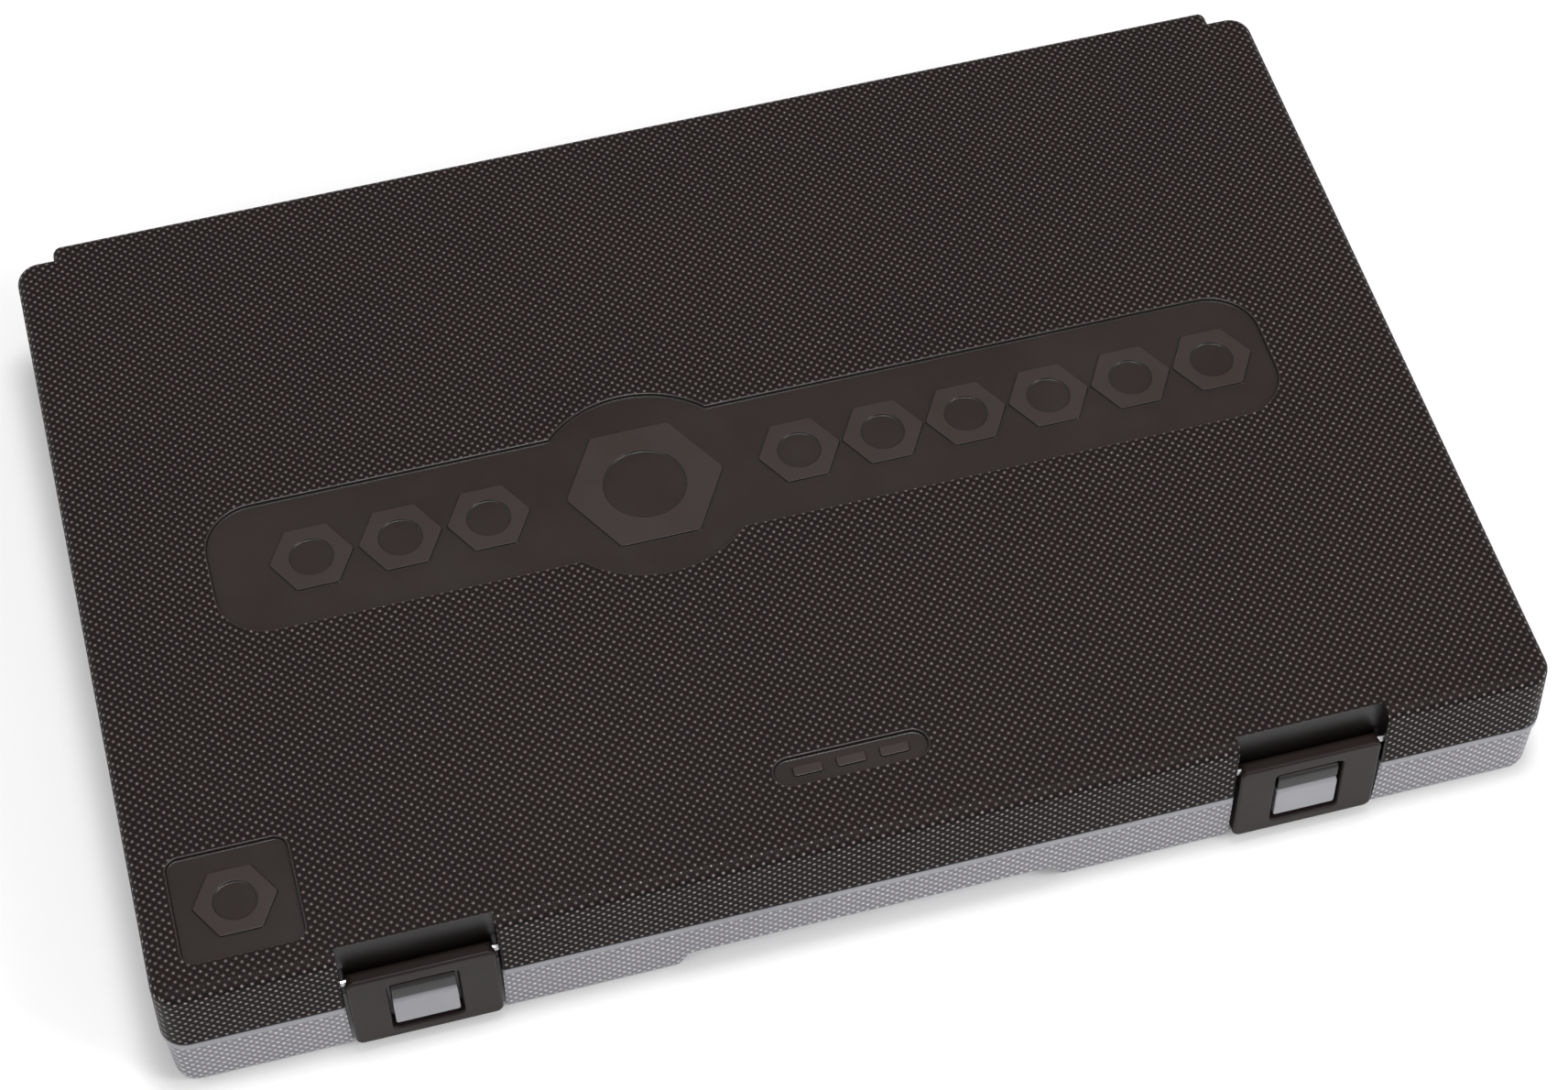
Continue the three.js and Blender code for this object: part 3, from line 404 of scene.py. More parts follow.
def steel(name, colour, roughness, along=None, smears=0.0):
    """Bright or dark metal with fine turning marks and faint handling smears."""
    s = Surface(name)
    fine, drawn_out = 2500, 60
    scale = {
        "x": (drawn_out, fine, fine),
        "y": (fine, drawn_out, fine),
        "around_y": (drawn_out, fine, drawn_out),
        None: (900, 900, 900),
    }[along]
    marks = s.node("ShaderNodeTexNoise")
    marks.inputs["Scale"].default_value = 1.0
    marks.inputs["Detail"].default_value = 3
    s.link(s.stretched(*scale), marks.inputs["Vector"])
    cloud = s.noise(0.012, 4, 0.6)
    deeper = tuple(c * 0.82 for c in colour)
    s.set(
        Base_Color=s.mixed(cloud, deeper, colour),
        Roughness=s.remap(cloud, 0.35, 0.75, roughness, roughness + 0.06 + smears),
    )
    s.shader.inputs["Metallic"].default_value = 1.0
    s.bump(marks.outputs["Fac"], 0.000004)
    return s.material


def rubber(name, colour, roughness=0.7):
    s = Surface(name)
    lighter = tuple(c * 1.7 + 0.004 for c in colour)
    s.set(
        Base_Color=s.mixed(s.noise(0.006, 4, 0.65), colour, lighter),
        Roughness=s.remap(s.noise(0.002, 3, 0.6), 0.3, 0.7, roughness - 0.08, roughness + 0.08),
    )
    s.bump(s.noise(0.0004, 3, 0.6), 0.00003)
    return s.material


# The tip colour of this dotted surface is a painted glint, partly real tip wear.
LID_DOTTED = moulded_plastic(
    "lid_dotted", (0.0190, 0.0138, 0.0132), (0.0265, 0.0195, 0.0186), 0.46,
    dots=True, wear_and_glint=(0.135, 0.113, 0.108), gloss=0.06, wall_below=LID_WALL_BELOW,
)
LID_SMOOTH = moulded_plastic(
    "lid_smooth", (0.0165, 0.0112, 0.0100), (0.0210, 0.0150, 0.0138), 0.33,
    grain=0.000005, gloss=0.36, raised_from=FIGURE_FROM,
)
# The tip colour of this dotted surface is a painted glint, partly real tip wear.
BASE_DOTTED = moulded_plastic(
    "base_dotted", (0.235, 0.228, 0.25), (0.285, 0.278, 0.30), 0.42,
    dots=True, wear_and_glint=(0.72, 0.70, 0.73), gloss=0.25,
)
BASE_SMOOTH = moulded_plastic(
    "base_smooth", (0.185, 0.185, 0.205), (0.235, 0.235, 0.255), 0.36, grain=FINE_GRAIN
)
LATCH_PLASTIC = moulded_plastic(
    "latch_plastic", (0.0105, 0.0068, 0.0062), (0.0145, 0.0100, 0.0092), 0.36, grain=FINE_GRAIN, gloss=0.14
)
TRAY_PLASTIC = moulded_plastic(
    "tray_plastic", (0.028, 0.029, 0.032), (0.040, 0.041, 0.045), 0.55, grain=COARSE_GRAIN
)
LINER_PLASTIC = moulded_plastic(
    "liner_plastic", (0.022, 0.023, 0.025), (0.032, 0.033, 0.036), 0.58, grain=COARSE_GRAIN
)
CHROME_X = steel("chrome_along_x", (0.72, 0.73, 0.75), 0.10, "x")
CHROME_Y = steel("chrome_along_y", (0.72, 0.73, 0.75), 0.10, "y")
CHROME = steel("chrome", (0.72, 0.73, 0.75), 0.12)
CHROME_TURNED = steel("chrome_turned", (0.74, 0.75, 0.77), 0.09, "around_y")
PIN_STEEL = steel("pin_steel", (0.50, 0.50, 0.52), 0.28, "x")
BALL_STEEL = steel("ball_steel", (0.62, 0.62, 0.64), 0.14)
DARK_STEEL = steel("dark_steel", (0.10, 0.10, 0.11), 0.32, smears=0.05)
GRIP_RUBBER = rubber("grip_rubber", (0.016, 0.017, 0.019))
INSERT_RUBBER = rubber("insert_rubber", (0.010, 0.010, 0.011), 0.8)

CAD_SURFACES = {
    "base_plastic": BASE_SMOOTH,
    "lid_plastic": LID_SMOOTH,
    "latch_plastic": LATCH_PLASTIC,
    "tray_plastic": TRAY_PLASTIC,
    "liner_plastic": LINER_PLASTIC,
    "chrome_steel": CHROME,
    "pin_steel": PIN_STEEL,
    "ball_steel": BALL_STEEL,
    "dark_steel": DARK_STEEL,
    "grip_rubber": GRIP_RUBBER,
    "insert_rubber": INSERT_RUBBER,
}


def dress_cad_nodes():
    """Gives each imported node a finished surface. Most are then replaced by finer pieces."""
    for part in frame["record"]["subparts"]:
        node = frame["nodes"][part["node"]]
        for index in range(max(1, len(node.material_slots))):
            if not node.material_slots:
                node.data.materials.append(None)
            node.material_slots[index].material = CAD_SURFACES[part["material_slot"]]


# ---------------------------------------------------------------- the case's sizes, from the frame

LID_LOW, LID_HIGH = corners_mm("lid_shell")
HALF_W = LID_HIGH[0]
HALF_D = -LID_LOW[1]  # the front wall's distance from the middle
TOP = LID_HIGH[2]
WALL = 2.3
CORNER = 6.0
PARTING = 20.0
RIM_GAP = 0.15
BULGE = 4.0
BULGE_STEP = 9.7
BULGE_FOOT = 24.0
CROWN_INSET = 3.1  # where the flat top starts
FOOT_INSET = 4.6  # where the flat underside starts
SHOULDER = 2.8
RIM_BAND = 18.1

OUTER_AREA = (-HALF_W, HALF_W, -HALF_D, HALF_D, CORNER)
INNER_AREA = (-HALF_W + WALL, HALF_W - WALL, -HALF_D + WALL, HALF_D - WALL, 4)

LATCH_BOXES = {side: corners_mm(f"latch_{side}") for side in ("left", "right")}
LATCH_X = {side: (low[0] + high[0]) / 2 for side, (low, high) in LATCH_BOXES.items()}
RECESS_HALF = 17.5
RECESS_Y = -103.9
HINGE_Y = HALF_D + 3.7
KNUCKLE_RADIUS = 3.3
HINGE_BORE = 1.65
LATCH_BORE = 1.1
PANEL_FLOOR = TOP - 0.9
FIGURE_TOP = TOP - 0.4


def lid_profile():
    """(height, inset) up the lid's outside: a drafted wall, then a round shoulder."""
    levels = [(PARTING + RIM_GAP, 0.12), (PARTING + RIM_GAP + 0.25, 0.0), (TOP - SHOULDER, 0.42)]
    return levels + fillet(TOP - SHOULDER, 0.42, TOP, CROWN_INSET, 8)[1:]


def base_profile():
    """(height, inset) up the base's outside: a round foot, a drafted wall, then the smooth rim band."""
    foot = fillet(FOOT_INSET, 1.0, 0.0, FOOT_INSET, 8)[::-1]
    rim = [(RIM_BAND - 0.15, 0.4), (RIM_BAND, 0.28), (RIM_BAND + 0.1, 0.05), (RIM_BAND + 0.3, 0.0)]
    return foot + rim + [(PARTING - RIM_GAP - 0.25, 0.0), (PARTING - RIM_GAP, 0.12)]


def length_table(profile, start):
    """Distance along a profile at each height, counted from the end named by start."""
    levels = profile if start == "low" else list(reversed(profile))
    total = 0.0
    table = [(*levels[0], 0.0)]
    for (z0, i0), (z1, i1) in zip(levels, levels[1:]):
        total += math.hypot(z1 - z0, i1 - i0)
        table.append((z1, i1, total))
    return sorted(table)


def read_table(table, z):
    """(inset, distance) at a height, between the table's rows."""
    if z <= table[0][0]:
        return table[0][1:]
    for (z0, i0, s0), (z1, i1, s1) in zip(table, table[1:]):
        if z <= z1:
            t = (z - z0) / max(z1 - z0, 1e-9)
            return i0 + (i1 - i0) * t, s0 + (s1 - s0) * t
    return table[-1][1:]


def unroll_dots(piece, profile, start, crown):
    """A UV map in millimetres that follows the surface, over the shoulder and down the wall."""
    table = length_table(profile, start)
    mesh = piece.data
    layer = mesh.uv_layers.new(name="dots")
    for face in mesh.polygons:
        nx, ny, nz = face.normal
        flat = abs(nz) > 0.9995
        for corner in face.loop_indices:
            x, y, z = (c / MM for c in mesh.vertices[mesh.loops[corner].vertex_index].co)
            inset, run = read_table(table, z)
            u, v = x, y
            if not flat and abs(ny) > abs(nx):
                side = math.copysign(1, ny)
                v = y + side * (inset - crown + run)
            elif not flat:
                side = math.copysign(1, nx)
                u = x + side * (inset - crown + run)
            layer.data[corner].uv = (u, v)


# ---------------------------------------------------------------- the shells


def slab(area, levels, steps=8):
    x0, x1, y0, y1, radius = area
    outline = lambda inset: rounded_rectangle(x0, x1, y0, y1, radius, inset, steps)
    return solid(outline, levels)


def block(x0, x1, y0, y1, z0, z1):
    return slab((x0, x1, y0, y1, 0.01), [(z0, 0), (z1, 0)], 1)


def rod_x(x0, x1, y, z, radius, chamfer=0.0, steps=32):
    """A round bar along X with chamfered ends."""
    rings = []
    end = radius - chamfer
    for x, r in ((x0, end), (x0 + chamfer, radius), (x1 - chamfer, radius), (x1, end)):
        rings.append([(x, y + r * math.cos(t), z + r * math.sin(t)) for t in turns(steps)])
    if not chamfer:
        rings = [rings[0], rings[-1]]
    return loft(rings)


def turns(steps):
    return [2 * math.pi * i / steps for i in range(steps)]


def latch_recess(x, z0, z1):
    """The space for a latch. Its edges flare out where they meet the shell's outside."""
    half, flare = RECESS_HALF, 0.5
    rings = []
    reach = HALF_D + 6
    widths = [(RECESS_Y, 0.0), (-HALF_D + 1.0, 0.0), (-HALF_D + 0.4, 0.12)]
    widths += [(-HALF_D, flare), (-reach, flare)]
    for y, extra in widths:
        x0, x1 = x - half - extra, x + half + extra
        rings.append([(x1, y, z0), (x1, y, z1), (x0, y, z1), (x0, y, z0)])
    return loft(rings)


def knuckle_places(owner):
    pitch, length = 16.6, 16.0
    for centre in (-95.0, 95.0):
        for i in range(0 if owner == "base" else 1, 5, 2):
            x0 = centre + (i - 2) * pitch - length / 2
            yield x0, x0 + length


def knuckle_outline(owner, inset):
    """A round barrel with a flat root that reaches back into the shell, in Y and Z."""
    root, gap = HALF_D - 1.3, 0.3
    radius = KNUCKLE_RADIUS - inset
    lean = math.degrees(math.asin(gap / radius))
    outline = [(root, PARTING - radius)] + arc(HINGE_Y, PARTING, radius, -90, 180 + lean, 32)
    outline.append((root, PARTING - gap))
    if owner == "lid":
        outline = [(y, 2 * PARTING - z) for y, z in reversed(outline)]
    return outline


def add_knuckles(shell, owner, surface):
    for x0, x1 in knuckle_places(owner):
        levels = chamfered(x0, x1, 0.25)
        rings = [[(x, y, z) for y, z in knuckle_outline(owner, inset)] for x, inset in levels]
        fuse(shell, loft(rings), surface=surface)
        carve(shell, rod_x(x0 - 1, x1 + 1, HINGE_Y, PARTING, HINGE_BORE, steps=20), surface=surface)


def mark_dotted(piece, is_dotted):
    """Surface 0 is dotted and surface 1 is smooth."""
    for face in piece.data.polygons:
        if face.material_index == 0 and not is_dotted(face):
            face.material_index = 1


def sunk_panel(outline, flare=0.35):
    """A cutter for a panel sunk into the lid's top, with a soft rim and a soft foot."""
    floor = PANEL_FLOOR
    levels = [(floor, 0.45), (floor + 0.08, 0.2), (floor + 0.3, 0.04), (TOP - 0.3, 0.0)]
    levels += [(TOP - 0.12, -0.06), (TOP - 0.03, -0.18), (TOP, -flare), (TOP + 1, -flare)]
    return solid(outline, levels)


def raised_figure(outline):
    """A figure that stands up in a panel, with its top edge rounded."""
    floor, top = PANEL_FLOOR, FIGURE_TOP
    levels = [(floor - 0.5, -0.12), (floor, -0.12), (floor + 0.12, 0.0)]
    levels += [(top - 0.14, 0.04), (top - 0.04, 0.12), (top, 0.3)]
    return solid(outline, levels)


def raised_hole(outline):
    """The cutter for a hole through a raised figure, down to the panel's floor."""
    floor, top = PANEL_FLOOR, FIGURE_TOP
    levels = [(floor, 0.3), (floor + 0.08, 0.12), (floor + 0.2, 0.0), (top - 0.14, 0.0), (top - 0.03, -0.1)]
    return solid(outline, levels + [(top, -0.25), (TOP + 1, -0.25)])


BANNER_Y = 0.5
MEDALLION_X = -25.5
BADGE_X, BADGE_Y = -138.0, -86.0
PILL_X, PILL_Y = 0.7, -86.3


def nut(x, y, radius, corner=0.9):
    """A raised hexagon nut as (figure, hole)."""
    figure = raised_figure(lambda inset: rounded_polygon(6, radius, x, y, corner, inset))
    hole = raised_hole(lambda inset: circle(x, y, radius * 0.52, inset, 40))
    return figure, hole


def centred_rectangle(x, y, half_width, half_depth, radius, steps=8):
    """A function from an inset to a rounded rectangle about (x, y)."""
    sides = (x - half_width, x + half_width, y - half_depth, y + half_depth)
    return lambda inset: rounded_rectangle(*sides, radius, inset, steps)


def sink_badges(shell):
    panels = [
        centred_rectangle(0, BANNER_Y, 128.5, 18.3, 12, 12),
        lambda inset: circle(MEDALLION_X, BANNER_Y, 26.5, inset, 96),
        centred_rectangle(BADGE_X, BADGE_Y, 13.5, 13.5, 3),
        centred_rectangle(PILL_X, PILL_Y, 17.7, 3.6, 3.5, 10),
    ]
    for outline in panels:
        carve(shell, sunk_panel(outline), surface=1)
    nuts = [nut(MEDALLION_X, BANNER_Y, 19, 1.6), nut(BADGE_X, BADGE_Y, 9.5)]
    nuts += [nut(x, BANNER_Y, 10) for x in (-105, -84, -63)]
    nuts += [nut(12 + i * 20.5, BANNER_Y, 10) for i in range(6)]
    bars = [raised_figure(centred_rectangle(PILL_X + dx, PILL_Y, 3.4, 1.3, 0.6, 3)) for dx in (-10, 0, 10)]
    fuse(shell, *[figure for figure, _ in nuts], *bars, surface=1)
    carve(shell, *[hole for _, hole in nuts], surface=1)


def make_lid_shell():
    profile = lid_profile()
    bulge = (-HALF_W + BULGE_STEP, HALF_W - BULGE_STEP, 0, HALF_D + BULGE, 2.6)
    bulge_levels = [(BULGE_FOOT, 0.5), (BULGE_FOOT + 0.15, 0.2), (BULGE_FOOT + 0.5, 0.05)]
    bulge_levels += [(z, inset) for z, inset in profile if z > BULGE_FOOT + 1]
    shell = new_object("lid_shell_fine", [slab(OUTER_AREA, profile)], [LID_DOTTED, LID_SMOOTH])
    fuse(shell, slab(bulge, bulge_levels, 5), surface=0)
    inner_top = TOP - WALL
    crown = [(inner_top - 3, 0.45), (inner_top - 0.8, 1.4), (inner_top, 3.0)]
    inside = slab(INNER_AREA, [(PARTING - 1, 0)] + crown)
    inner = new_object("inner", [inside], [LID_DOTTED, LID_SMOOTH], [1])
    edge = HALF_W - BULGE_STEP - WALL
    bulge_inside = slab((-edge, edge, 0, HALF_D + BULGE - WALL, 1.5), [(BULGE_FOOT + WALL, 0)] + crown, 4)
    fuse(inner, bulge_inside, surface=1)
    for x in LATCH_X.values():
        guard = block(x - 21, x + 21, -HALF_D - 5, RECESS_Y + 2.2, PARTING - 2, TOP + 1)
        carve(inner, guard, surface=1)
    combine(shell, inner, "DIFFERENCE")
    for side, x in LATCH_X.items():
        carve(shell, latch_recess(x, PARTING - 2, TOP + 1), surface=1)
        pivot = (LATCH_BOXES[side][0][1] + 2.2, 28.0)
        carve(shell, rod_x(x - 20.2, x + 20.2, *pivot, LATCH_BORE, steps=16), surface=1)
    for x in LATCH_X.values():
        fuse(shell, keeper(x, tongue_outline()), surface=1)
    sink_badges(shell)
    add_knuckles(shell, "lid", 1)
    finish_mesh(shell)
    mark_dotted(shell, lambda face: face.center.z / MM > PARTING + 0.5)
    unroll_dots(shell, profile, "high", CROWN_INSET)
    place(shell, "lid", "lid_plastic", "lid_shell")


def make_base_shell():
    profile = base_profile()
    shell = new_object("base_shell_fine", [slab(OUTER_AREA, profile)], [BASE_DOTTED, BASE_SMOOTH])
    inside = slab(INNER_AREA, [(WALL, 3.4), (WALL + 1, 2.0), (WALL + 2.4, 1.3), (PARTING + 1, 0)])
    inner = new_object("inner", [inside], [BASE_DOTTED, BASE_SMOOTH], [1])
    guards = [block(x - 21, x + 21, -HALF_D - 5, RECESS_Y + 2.2, -1, PARTING + 2) for x in LATCH_X.values()]
    guards.append(block(-50, 50, -HALF_D - 5, -98.5, -1, 9.5))
    for guard in guards:
        carve(inner, guard, surface=1)
    combine(shell, inner, "DIFFERENCE")
    for x in LATCH_X.values():
        carve(shell, latch_recess(x, -1, PARTING + 2), surface=1)
    slope = [(-47.5, -0.5), (47.5, -0.5), (42.8, 6.6), (42.0, 7.2), (-42.0, 7.2), (-42.8, 6.6)]
    carve(shell, loft([[(x, y, z) for x, z in slope] for y in (-HALF_D - 3, -100.8)]), surface=1)
    for x in LATCH_X.values():
        fuse(shell, keeper(x, catch_outline()), surface=1)
    add_knuckles(shell, "base", 1)
    finish_mesh(shell)
    mark_dotted(shell, lambda face: face.center.z / MM < RIM_BAND - 0.05)
    unroll_dots(shell, profile, "high", FOOT_INSET)
    place(shell, "base", "base_plastic", "base_shell")


def keeper(x, outline):
    """A block across the latch's window with softened ends, from an outline in Y and Z."""
    end = 7.25
    middle_y = sum(y for y, _ in outline) / len(outline)
    middle_z = sum(z for _, z in outline) / len(outline)
    rings = []
    stops = [(-end, 0.4), (-end + 0.12, 0.16), (-end + 0.4, 0)]
    stops += [(end - 0.4, 0), (end - 0.12, 0.16), (end, 0.4)]
    for dx, inset in stops:
        ring = []
        for y, z in outline:
            away = Vector((y - middle_y, z - middle_z))
            closer = away * (1 - inset / max(away.length, 1))
            front = y < RECESS_Y - 0.2
            ring.append((x + dx, middle_y + closer.x if front else y, middle_z + closer.y if front else z))
        rings.append(ring)
    return loft(rings)


def catch_outline():
    """The base's catch, which the latch's window closes over."""
    front, low, high = -107.9, 8.5, 18.3
    back = RECESS_Y + 0.6
    upper = [(front + 0.95, high), (front + 0.45, high - 0.2), (front + 0.12, high - 0.55)]
    lower = [(front, high - 1.1), (front, low + 0.6), (front + 0.15, low + 0.2), (front + 0.5, low)]
    return [(back, low), (back, high)] + upper + lower


def tongue_outline():
    """The lid's tongue, which stands on the catch."""
    front, low, high = -107.6, 18.7, 23.6
    rim = PARTING + RIM_GAP
    upper = [(front + 1.1, high), (front + 0.5, high - 0.2), (front + 0.12, high - 0.6)]
    lower = [(front, high - 1.2), (front, low + 0.5), (front + 0.15, low + 0.15), (front + 0.5, low)]
    rear, root = RECESS_Y - 0.3, RECESS_Y + 0.6
    return [(rear, low), (rear, rim), (root, rim), (root, high)] + upper + lower


def make_latch(side):
    """A smooth plate with rounded edges, a window for the catch and a barrel round its pin."""
    low, high = LATCH_BOXES[side]
    x = LATCH_X[side]
    half = (high[0] - low[0]) / 2
    front, back = low[1], high[1]
    face = lambda inset: rounded_rectangle(x - half, x + half, low[2], high[2], 1.8, inset, 6)
    levels = [(-back, 0.5)] + fillet(-back, 0.5, -back + 0.5, 0.0, 3)[1:] + [(-front - 0.7, 0.0)]
    levels += fillet(-front - 0.7, 0.0, -front, 0.7, 5)[1:]
    plate = new_object(f"latch_{side}_fine", [solid(face, levels, stand_y)], [LATCH_PLASTIC])
    pivot_y, pivot_z = back - 1.6, high[2] - 1.6
    shoulder = arc(pivot_y, pivot_z, 1.6, 0, 90, 8)
    rounded_top = [(pivot_y, high[2] + 2), (back + 2, high[2] + 2), (back + 2, pivot_z)]
    past_ends = (x - half - 1, x + half + 1)
    carve(plate, loft([[(px, y, z) for y, z in shoulder + rounded_top] for px in past_ends]))
    window = lambda inset: rounded_rectangle(x - 8, x + 8, 6.8, 25.6, 1.2, inset, 5)
    flare = [(-back - 1, -0.3), (-back, -0.3), (-back + 0.3, 0.0), (-front - 0.7, 0.0)]
    flare += [(-front - 0.35, -0.1), (-front - 0.1, -0.3), (-front, -0.6), (-front + 1, -0.6)]
    carve(plate, solid(window, flare, stand_y))
    carve(plate, rod_x(*past_ends, pivot_y, pivot_z, LATCH_BORE, steps=20))
    finish(plate, f"latch_{side}", "latch_plastic", f"latch_{side}")


# ---------------------------------------------------------------- turned and drilled steel

RING_STEPS = 48
DRIVE_HALF = 4.75
DRIVE_HOLE_HALF = 4.85
DRIVE_DEPTH = 11.0
DRIVE_END_RADIUS = 8.5


def round_section(radius):
    return [(radius * math.cos(t), radius * math.sin(t)) for t in turns(RING_STEPS)]


def flat_section(sides, half, turn=0.0, blunt=0.985):
    """A polygon section with half its width across flats, its corners a little blunted."""
    points = []
    for t in turns(RING_STEPS):
        lean = (t - turn + math.pi / sides) % (2 * math.pi / sides) - math.pi / sides
        reach = half / math.cos(math.pi / sides - abs(lean))
        reach = min(reach, blunt * half / math.cos(math.pi / sides))
        points.append((reach * math.cos(t), reach * math.sin(t)))
    return points


def square_section(half):
    return flat_section(4, half, math.pi / 4)


def hexagon_section(across):
    return flat_section(6, across / 2)


def stations(sections, place):
    """Rings from (distance along the axis, section) pairs."""
    return [[place(u, v, along) for u, v in section] for along, section in sections]


def axis_y(x, y, z, facing=1):
    return lambda u, v, along: (x + u, y + facing * along, z + v)


def axis_x(x, y, z):
    return lambda u, v, along: (x + along, y + u, z + v)


def ring_groove(along, radius, groove=0.35, width=1.2):
    """The sections of a shallow groove round a turned piece."""
    return [
        (along, round_section(radius)),
        (along + 0.2, round_section(radius - groove)),
        (along + width - 0.2, round_section(radius - groove)),
        (along + width, round_section(radius)),
    ]


def female_end(outer):
    """Sections from the bottom of a square hole, out through its mouth and round the end's edge."""
    return [
        (DRIVE_DEPTH, square_section(DRIVE_HOLE_HALF)),
        (0.6, square_section(DRIVE_HOLE_HALF)),
        (0.0, square_section(DRIVE_HOLE_HALF + 0.5)),
        (0.0, round_section(outer - 0.8)),
        (0.25, round_section(outer - 0.25)),
        (0.8, round_section(outer)),
    ]


def male_end(start, length, shoulder):
    """Sections of a square drive from its shoulder to its chamfered tip."""
    return [
        (start, round_section(shoulder)),
        (start + 0.01, square_section(DRIVE_HALF)),
        (length - 1.2, square_section(DRIVE_HALF)),
        (length - 0.4, square_section(DRIVE_HALF - 0.45)),
        (length, square_section(DRIVE_HALF - 1.0)),
    ]


def socket_sections(size, length, hex_depth):
    """A closed loop of sections: up the outside, in at the mouth and back down through the bore."""
    nose = (1.27 * size + 2.2) / 2
    drive = max(DRIVE_END_RADIUS, 0.84 * nose)
    shoulder = DRIVE_DEPTH + 1
    bore = min(4.3, 0.47 * size)
    mouth = (size + 0.1) / math.sqrt(3) + 0.35
    sections = female_end(drive)[1:]
    sections += ring_groove(4.6, drive) + [(shoulder - 0.5, round_section(drive))]
    for i in range(7):
        t = i / 6
        sections.append((shoulder + 2.2 * t, round_section(drive + (nose - drive) * smooth_step(t))))
    sections += [
        (length - 1.1, round_section(nose)),
        (length - 0.35, round_section(nose - 0.2)),
        (length, round_section(nose - 0.75)),
        (length, round_section(min(mouth, nose - 0.8))),
        (length - 0.9, hexagon_section(size + 0.1)),
        (length - hex_depth, hexagon_section(size + 0.1)),
        (length - hex_depth - 0.6, round_section(bore)),
        (DRIVE_DEPTH + 0.6, round_section(bore)),
        (DRIVE_DEPTH, square_section(DRIVE_HOLE_HALF)),
    ]
    return sections


def sockets():
    """(node, low corner, high corner, x, z, whether it is a short one) of each socket."""
    for part in frame["record"]["subparts"]:
        node = part["node"]
        if "socket_" in node:
            x, _, z = centre_mm(node)
            yield node, *corners_mm(node), x, z, "short" in node


def make_sockets():
    for node, low, high, x, z, short in sockets():
        size = int(node[-2:])
        place_ring = axis_y(x, low[1] if short else high[1], z, 1 if short else -1)
        sections = socket_sections(size, high[1] - low[1], 14 if short else 42)
        form = loft(stations(sections, place_ring), closed=True)
        piece = new_object(f"{node}_fine", [form], [CHROME_TURNED])
        finish(piece, "base", "chrome_steel", node)


def make_inserts():
    """Ribbed rubber sleeves that grip a spark plug."""
    for size in (16, 18):
        node = f"spark_plug_insert_{size}"
        low, high = corners_mm(node)
        x, _, z = centre_mm(node)
        outer, inner, length = size / 2 - 0.35, 4.7, high[1] - low[1]
        sections = [(0.0, round_section(inner + 0.5)), (0.0, round_section(outer - 0.5))]
        sections.append((0.5, round_section(outer)))
        sections += [(length - 0.5, round_section(outer)), (length, round_section(outer - 0.5))]
        sections += [(length, round_section(inner + 0.6)), (length - 0.6, round_section(inner + 0.1))]
        for i in range(6):
            along = length - 1.4 - i * 1.35
            sections += [(along, round_section(inner)), (along - 0.6, round_section(inner + 0.35))]
        form = loft(stations(sections, axis_y(x, high[1], z, -1)), closed=True)
        piece = new_object(f"{node}_fine", [form], [INSERT_RUBBER])
        finish(piece, "base", "insert_rubber", node)


def ball_seat(x, y, z):
    return rod_z(x, y, z, z + 6, 1.8)


def rod_z(x, y, z0, z1, radius, chamfer=0.0, steps=32):
    levels = chamfered(z0, z1, chamfer) if chamfer else [(z0, 0), (z1, 0)]
    return solid(lambda inset: circle(x, y, radius, inset, steps), levels)


def make_extensions():
    for name in ("long", "short"):
        node = f"extension_bar_{name}"
        low, high = corners_mm(node)
        length = high[0] - low[0]
        _, y, z = centre_mm(node)
        shaft, square_from = 6.0, length - 11
        sections = female_end(DRIVE_END_RADIUS)
        sections += ring_groove(3.2, DRIVE_END_RADIUS) + ring_groove(11.0, DRIVE_END_RADIUS)
        sections.append((15.0, round_section(DRIVE_END_RADIUS)))
        for i in range(1, 7):
            t = i / 6
            radius = DRIVE_END_RADIUS + (shaft - DRIVE_END_RADIUS) * smooth_step(t)
            sections.append((15 + 4 * t, round_section(radius)))
        sections += [
            (square_from - 3, round_section(shaft)),
            (square_from - 1.5, round_section(shaft + 0.9)),
            (square_from - 0.5, round_section(shaft + 0.85)),
        ]
        sections += male_end(square_from, length, shaft + 0.4)
        piece = new_object(f"{node}_fine", [loft(stations(sections, axis_x(low[0], y, z)))], [CHROME_X])
        carve(piece, ball_seat(high[0] - 4.2, y, z))
        finish(piece, "base", "chrome_steel", node)


def ear(axis, towards, inner, outer, centre):
    """One ear of a yoke: a round end about the pivot and a strap back to its hub."""
    half, hub = 4.2, 10.3
    outline = lambda inset: (
        arc(0, 0, half - inset, 180, 0, 16) + [(half - inset, -hub), (-half + inset, -hub)]
    )[::-1]
    levels = [(inner, 0.3), (inner + 0.3, 0.0), (outer - 0.9, 0.0), (outer - 0.3, 0.25), (outer, 0.7)]
    cx, cy, cz = centre
    rings = []
    for height, inset in levels:
        ring = []
        for u, v in outline(inset):
            v = -v * towards
            ring.append((cx + u, cy + v, cz + height) if axis == "z" else (cx + height, cy + v, cz + u))
        rings.append(ring)
    return loft(rings)


def yoke_ears(axis, towards, centre):
    return [ear(axis, towards, 5.3, 8.2, centre), ear(axis, towards, -5.3, -8.2, centre)]


